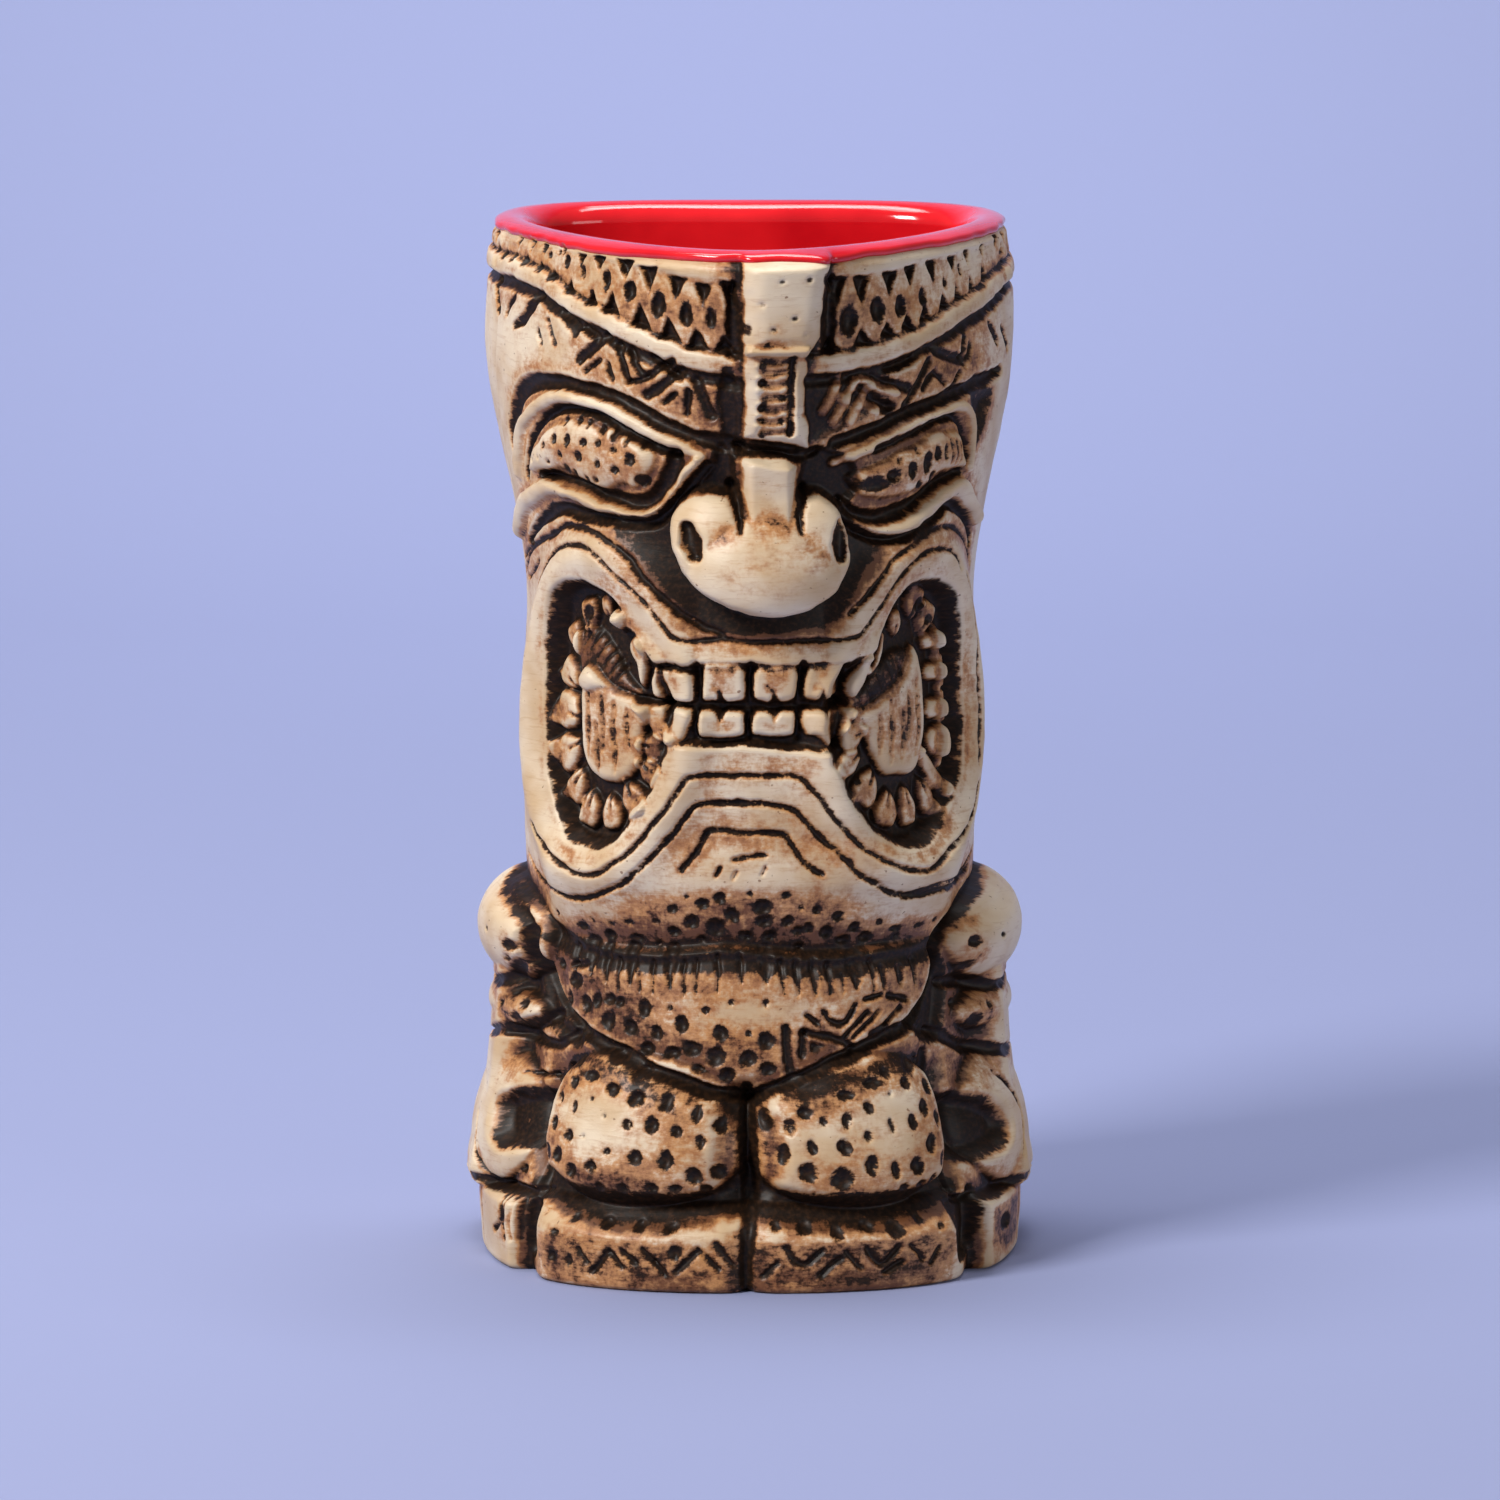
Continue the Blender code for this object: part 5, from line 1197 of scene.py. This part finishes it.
class Nodes:
    """Short ways to add and join shader nodes."""

    def __init__(self, name):
        self.material = bpy.data.materials.new(name)
        self.material.use_nodes = True
        self.tree = self.material.node_tree
        self.shader = self.tree.nodes["Principled BSDF"]

    def put(self, socket, value):
        if isinstance(value, bpy.types.NodeSocket):
            self.tree.links.new(value, socket)
        else:
            socket.default_value = value

    def attribute(self, name):
        node = self.tree.nodes.new("ShaderNodeAttribute")
        node.attribute_name = name
        return node.outputs["Fac"]

    def drawing(self, x=1.0, y=1.0):
        node = self.tree.nodes.new("ShaderNodeUVMap")
        node.uv_map = "drawing"
        mapping = self.tree.nodes.new("ShaderNodeMapping")
        mapping.inputs["Scale"].default_value = (x, y, 1.0)
        self.tree.links.new(node.outputs["UV"], mapping.inputs["Vector"])
        return mapping.outputs["Vector"]

    def solid(self):
        """The object's own coordinates, at the drawing's scale."""
        node = self.tree.nodes.new("ShaderNodeTexCoord")
        mapping = self.tree.nodes.new("ShaderNodeMapping")
        mapping.inputs["Scale"].default_value = (1 / (MAP_SIZE * MM),) * 3
        self.tree.links.new(node.outputs["Object"], mapping.inputs["Vector"])
        return mapping.outputs["Vector"]

    def noise(self, vector, size, detail=3.0, rough=0.55, twist=0.0):
        """Noise whose waves are about this many millimetres."""
        node = self.tree.nodes.new("ShaderNodeTexNoise")
        self.put(node.inputs["Vector"], vector)
        node.inputs["Scale"].default_value = MAP_SIZE / size
        node.inputs["Detail"].default_value = detail
        node.inputs["Roughness"].default_value = rough
        node.inputs["Distortion"].default_value = twist
        return node.outputs["Fac"]

    def maths(self, kind, a, b=0.0, c=0.0):
        node = self.tree.nodes.new("ShaderNodeMath")
        node.operation = kind
        for socket, value in zip(node.inputs, (a, b, c)):
            self.put(socket, value)
        return node.outputs[0]

    def span(self, value, low, high, to_low=0.0, to_high=1.0):
        node = self.tree.nodes.new("ShaderNodeMapRange")
        node.interpolation_type = "SMOOTHSTEP"
        names = ("Value", "From Min", "From Max", "To Min", "To Max")
        for name, number in zip(names, (value, low, high, to_low, to_high)):
            self.put(node.inputs[name], number)
        return node.outputs["Result"]

    def blend(self, share, a, b):
        node = self.tree.nodes.new("ShaderNodeMix")
        node.data_type = "RGBA"
        for socket, value in ((node.inputs[0], share), (node.inputs[6], a), (node.inputs[7], b)):
            self.put(socket, value)
        return node.outputs[2]

    def bump(self, height, distance, strength=1.0, normal=None):
        node = self.tree.nodes.new("ShaderNodeBump")
        node.inputs["Strength"].default_value = strength
        node.inputs["Distance"].default_value = distance
        self.put(node.inputs["Height"], height)
        if normal:
            self.put(node.inputs["Normal"], normal)
        return node.outputs["Normal"]


def clay_material():
    """Cream clay under a brown-black stain brushed on and wiped off the high places, with some painted
    shade.
    """
    clay = Nodes("stained_clay")
    flat, streaked, upright = clay.drawing(), clay.drawing(0.16, 1.0), clay.drawing(1.0, 0.22)
    grain = clay.noise(flat, 0.8, 4.0)
    ragged = clay.noise(flat, 2.6, 4.0, 0.65)
    cloud = clay.noise(flat, 14.0, 3.0)
    streak = clay.noise(streaked, 0.75, 3.0, 0.6, 1.2)
    stain = clay.attribute("stain")
    halo = clay.attribute("halo")
    drips = clay.noise(upright, 0.8, 2.0, 0.5, 1.0)
    rough_edge = None
    for waves, amount in ((grain, 1.2), (streak, 0.6), (ragged, 1.75), (drips, 0.3)):
        part = clay.maths("MULTIPLY", clay.maths("SUBTRACT", waves, 0.5), amount)
        rough_edge = part if rough_edge is None else clay.maths("ADD", rough_edge, part)
    rough_edge = clay.maths("MULTIPLY", rough_edge, clay.span(halo, 0.0, 0.5, 0.25, 1.0))
    dark = clay.span(clay.maths("ADD", stain, rough_edge), 0.44, 0.86)
    spread = clay.maths("ADD", halo, clay.maths("MULTIPLY", rough_edge, 0.72))
    tan, brown = clay.span(spread, 0.05, 0.5), clay.span(spread, 0.42, 0.98)
    cream = clay.blend(clay.span(cloud, 0.36, 0.66), linear(229, 209, 179), linear(206, 174, 133))
    cream = clay.blend(clay.span(streak, 0.52, 0.74, 0.0, 0.34), cream, linear(180, 136, 90))
    speck = clay.span(clay.noise(flat, 1.1, 2.0, 0.4), 0.7, 0.76, 0.0, 0.75)
    cream = clay.blend(speck, cream, linear(120, 74, 40))
    sienna = clay.blend(clay.span(ragged, 0.35, 0.68), linear(198, 136, 76), linear(166, 102, 50))
    colour = clay.blend(clay.maths("MULTIPLY", tan, 0.88), cream, sienna)
    colour = clay.blend(clay.maths("MULTIPLY", brown, 0.92), colour, linear(98, 54, 26))
    black = clay.blend(clay.span(grain, 0.4, 0.8), linear(27, 16, 8), linear(60, 37, 20))
    colour = clay.blend(dark, colour, black)
    clay.put(clay.shader.inputs["Base Color"], colour)
    roughness = clay.span(dark, 0, 1, 0.46, 0.5)
    uneven = clay.maths("MULTIPLY", clay.maths("SUBTRACT", grain, 0.5), 0.16)
    clay.put(clay.shader.inputs["Roughness"], clay.maths("ADD", roughness, uneven))
    clay.put(clay.shader.inputs["Specular IOR Level"], clay.span(dark, 0, 1, 0.45, 0.2))
    clay.shader.inputs["Coat Weight"].default_value = 0.05
    clay.shader.inputs["Coat Roughness"].default_value = 0.28
    normal = clay.bump(grain, 0.00006, 0.5)
    normal = clay.bump(streak, 0.00008, 0.5, normal)
    normal = clay.bump(clay.noise(flat, 0.45, 2.0), 0.00003, 0.6, normal)
    clay.put(clay.shader.inputs["Normal"], normal)
    return clay.material


def glaze_material():
    """Glossy red glaze, a little thinner and darker along its brushed edge, and darker inside as
    painted shade.
    """
    glaze = Nodes("red_glaze")
    flat = glaze.solid()
    cloud = glaze.noise(flat, 22.0, 3.0)
    edge = glaze.attribute("edge")
    red = glaze.blend(glaze.span(cloud, 0.3, 0.72), linear(240, 34, 42), linear(206, 18, 30))
    thin = glaze.maths("ADD", edge, glaze.maths("MULTIPLY", glaze.noise(flat, 1.2), 0.3))
    red = glaze.blend(glaze.span(thin, 0.7, 1.2, 0, 0.7), red, linear(128, 14, 20))
    # Painted shade: darker red down the inner wall and over the floor, where less light reaches.
    red = glaze.blend(glaze.maths("MULTIPLY", glaze.attribute("deep"), 0.85), red, linear(158, 8, 18))
    glaze.put(glaze.shader.inputs["Base Color"], red)
    gloss = glaze.span(glaze.noise(flat, 6.0), 0.3, 0.7, 0.07, 0.14)
    glaze.put(glaze.shader.inputs["Roughness"], gloss)
    glaze.shader.inputs["Coat Weight"].default_value = 0.25
    glaze.shader.inputs["Coat Roughness"].default_value = 0.04
    normal = glaze.bump(glaze.noise(flat, 16.0, 2.0), 0.0006, 0.35)
    normal = glaze.bump(glaze.noise(flat, 1.6, 2.0), 0.00003, 0.4, normal)
    glaze.put(glaze.shader.inputs["Normal"], normal)
    return glaze.material


def build_stage():
    """A pale blue floor that sweeps up into a backdrop."""
    across = np.linspace(-2.2, 2.2, 45)
    profile = [(-2.6, 0.0)] + [(y, 0.0) for y in np.linspace(-2.4, 0.75, 24)]
    for degrees in np.linspace(5, 90, 18):
        turn = math.radians(degrees)
        profile.append((0.75 + 0.6 * math.sin(turn), 0.6 * (1 - math.cos(turn))))
    profile += [(1.35, z) for z in np.linspace(0.7, 2.6, 14)]
    points = np.array([[(x, y, z) for x in across] for y, z in profile])
    mesh, _, column = grid_mesh("backdrop", points)
    set_map(mesh, column / 45.0, column / 45.0)
    mesh.update()
    mesh.shade_smooth()
    paper = Nodes("backdrop_paper")
    coordinates = paper.tree.nodes.new("ShaderNodeTexCoord").outputs["Object"]
    grain = paper.tree.nodes.new("ShaderNodeTexNoise")
    grain.inputs["Scale"].default_value = 260.0
    paper.put(grain.inputs["Vector"], coordinates)
    split = paper.tree.nodes.new("ShaderNodeSeparateXYZ")
    paper.put(split.inputs["Vector"], coordinates)
    # Painted shade: the floor very slightly darker at the front than towards the backdrop.
    depth = paper.span(split.outputs["Y"], -0.25, 0.85)
    shade = paper.maths("ADD", depth, paper.maths("MULTIPLY", grain.outputs["Fac"], 0.12))
    colour = paper.blend(shade, linear(149, 156, 193), linear(150, 157, 194))
    paper.put(paper.shader.inputs["Base Color"], colour)
    paper.shader.inputs["Roughness"].default_value = 0.85
    paper.shader.inputs["Specular IOR Level"].default_value = 0.15
    mesh.materials.append(paper.material)
    backdrop = bpy.data.objects.new("backdrop", mesh)
    bpy.context.scene.collection.objects.link(backdrop)


def add_light(name, place, target, size, power, colour=(1.0, 1.0, 1.0)):
    data = bpy.data.lights.new(name, "AREA")
    data.shape = "RECTANGLE"
    data.size, data.size_y = size
    data.energy = power
    data.color = colour
    light = bpy.data.objects.new(name, data)
    bpy.context.scene.collection.objects.link(light)
    aim(light, place, target)


def aim(thing, place, target):
    """Stands a camera or a light at a place, looking at a target."""
    thing.location = place
    thing.rotation_euler = (Vector(target) - Vector(place)).to_track_quat("-Z", "Y").to_euler()


def build_lights_and_camera():
    world = bpy.data.worlds.new("studio")
    world.use_nodes = True
    background = world.node_tree.nodes["Background"]
    background.inputs["Color"].default_value = (0.95, 0.97, 1.0, 1.0)
    background.inputs["Strength"].default_value = 0.185
    bpy.context.scene.world = world
    add_light("key", (-0.95, -0.8, 1.1), (0, 0, 0.09), (0.45, 0.45), 24.5, (1.0, 0.975, 0.945))
    add_light("fill", (1.15, -0.8, 0.32), (0, 0, 0.09), (0.8, 0.6), 3.6, (0.98, 0.98, 1.0))
    add_light("top", (-0.1, 0.2, 1.0), (0, 0, 0.12), (0.7, 0.35), 3.8)
    add_light("glow", (0.0, 0.78, 0.5), (0.0, 1.12, 0.12), (0.2, 0.2), 0.95, (0.96, 0.97, 1.0))
    add_light("backdrop_light", (0.0, 0.3, 1.5), (0.0, 1.3, 0.4), (1.2, 0.5), 11.0, (0.96, 0.97, 1.0))
    data = bpy.data.cameras.new("camera")
    data.sensor_width = 36.0
    data.lens = 276.7
    data.dof.use_dof = False
    camera = bpy.data.objects.new("camera", data)
    bpy.context.scene.collection.objects.link(camera)
    rise, away = math.radians(8.8), 2.0
    target = (0.0, AXIS_Y, 0.086)
    place = (0.0, target[1] - away * math.cos(rise), target[2] + away * math.sin(rise))
    aim(camera, place, target)
    bpy.context.scene.camera = camera
    bpy.context.scene.view_settings.view_transform = "Standard"
    bpy.context.scene.view_settings.look = "None"


def main():
    clay = clay_material()
    angles, wall = build_wall(clay)
    build_foot(clay, angles, wall)
    build_glaze(glaze_material())
    build_stage()
    build_lights_and_camera()


main()
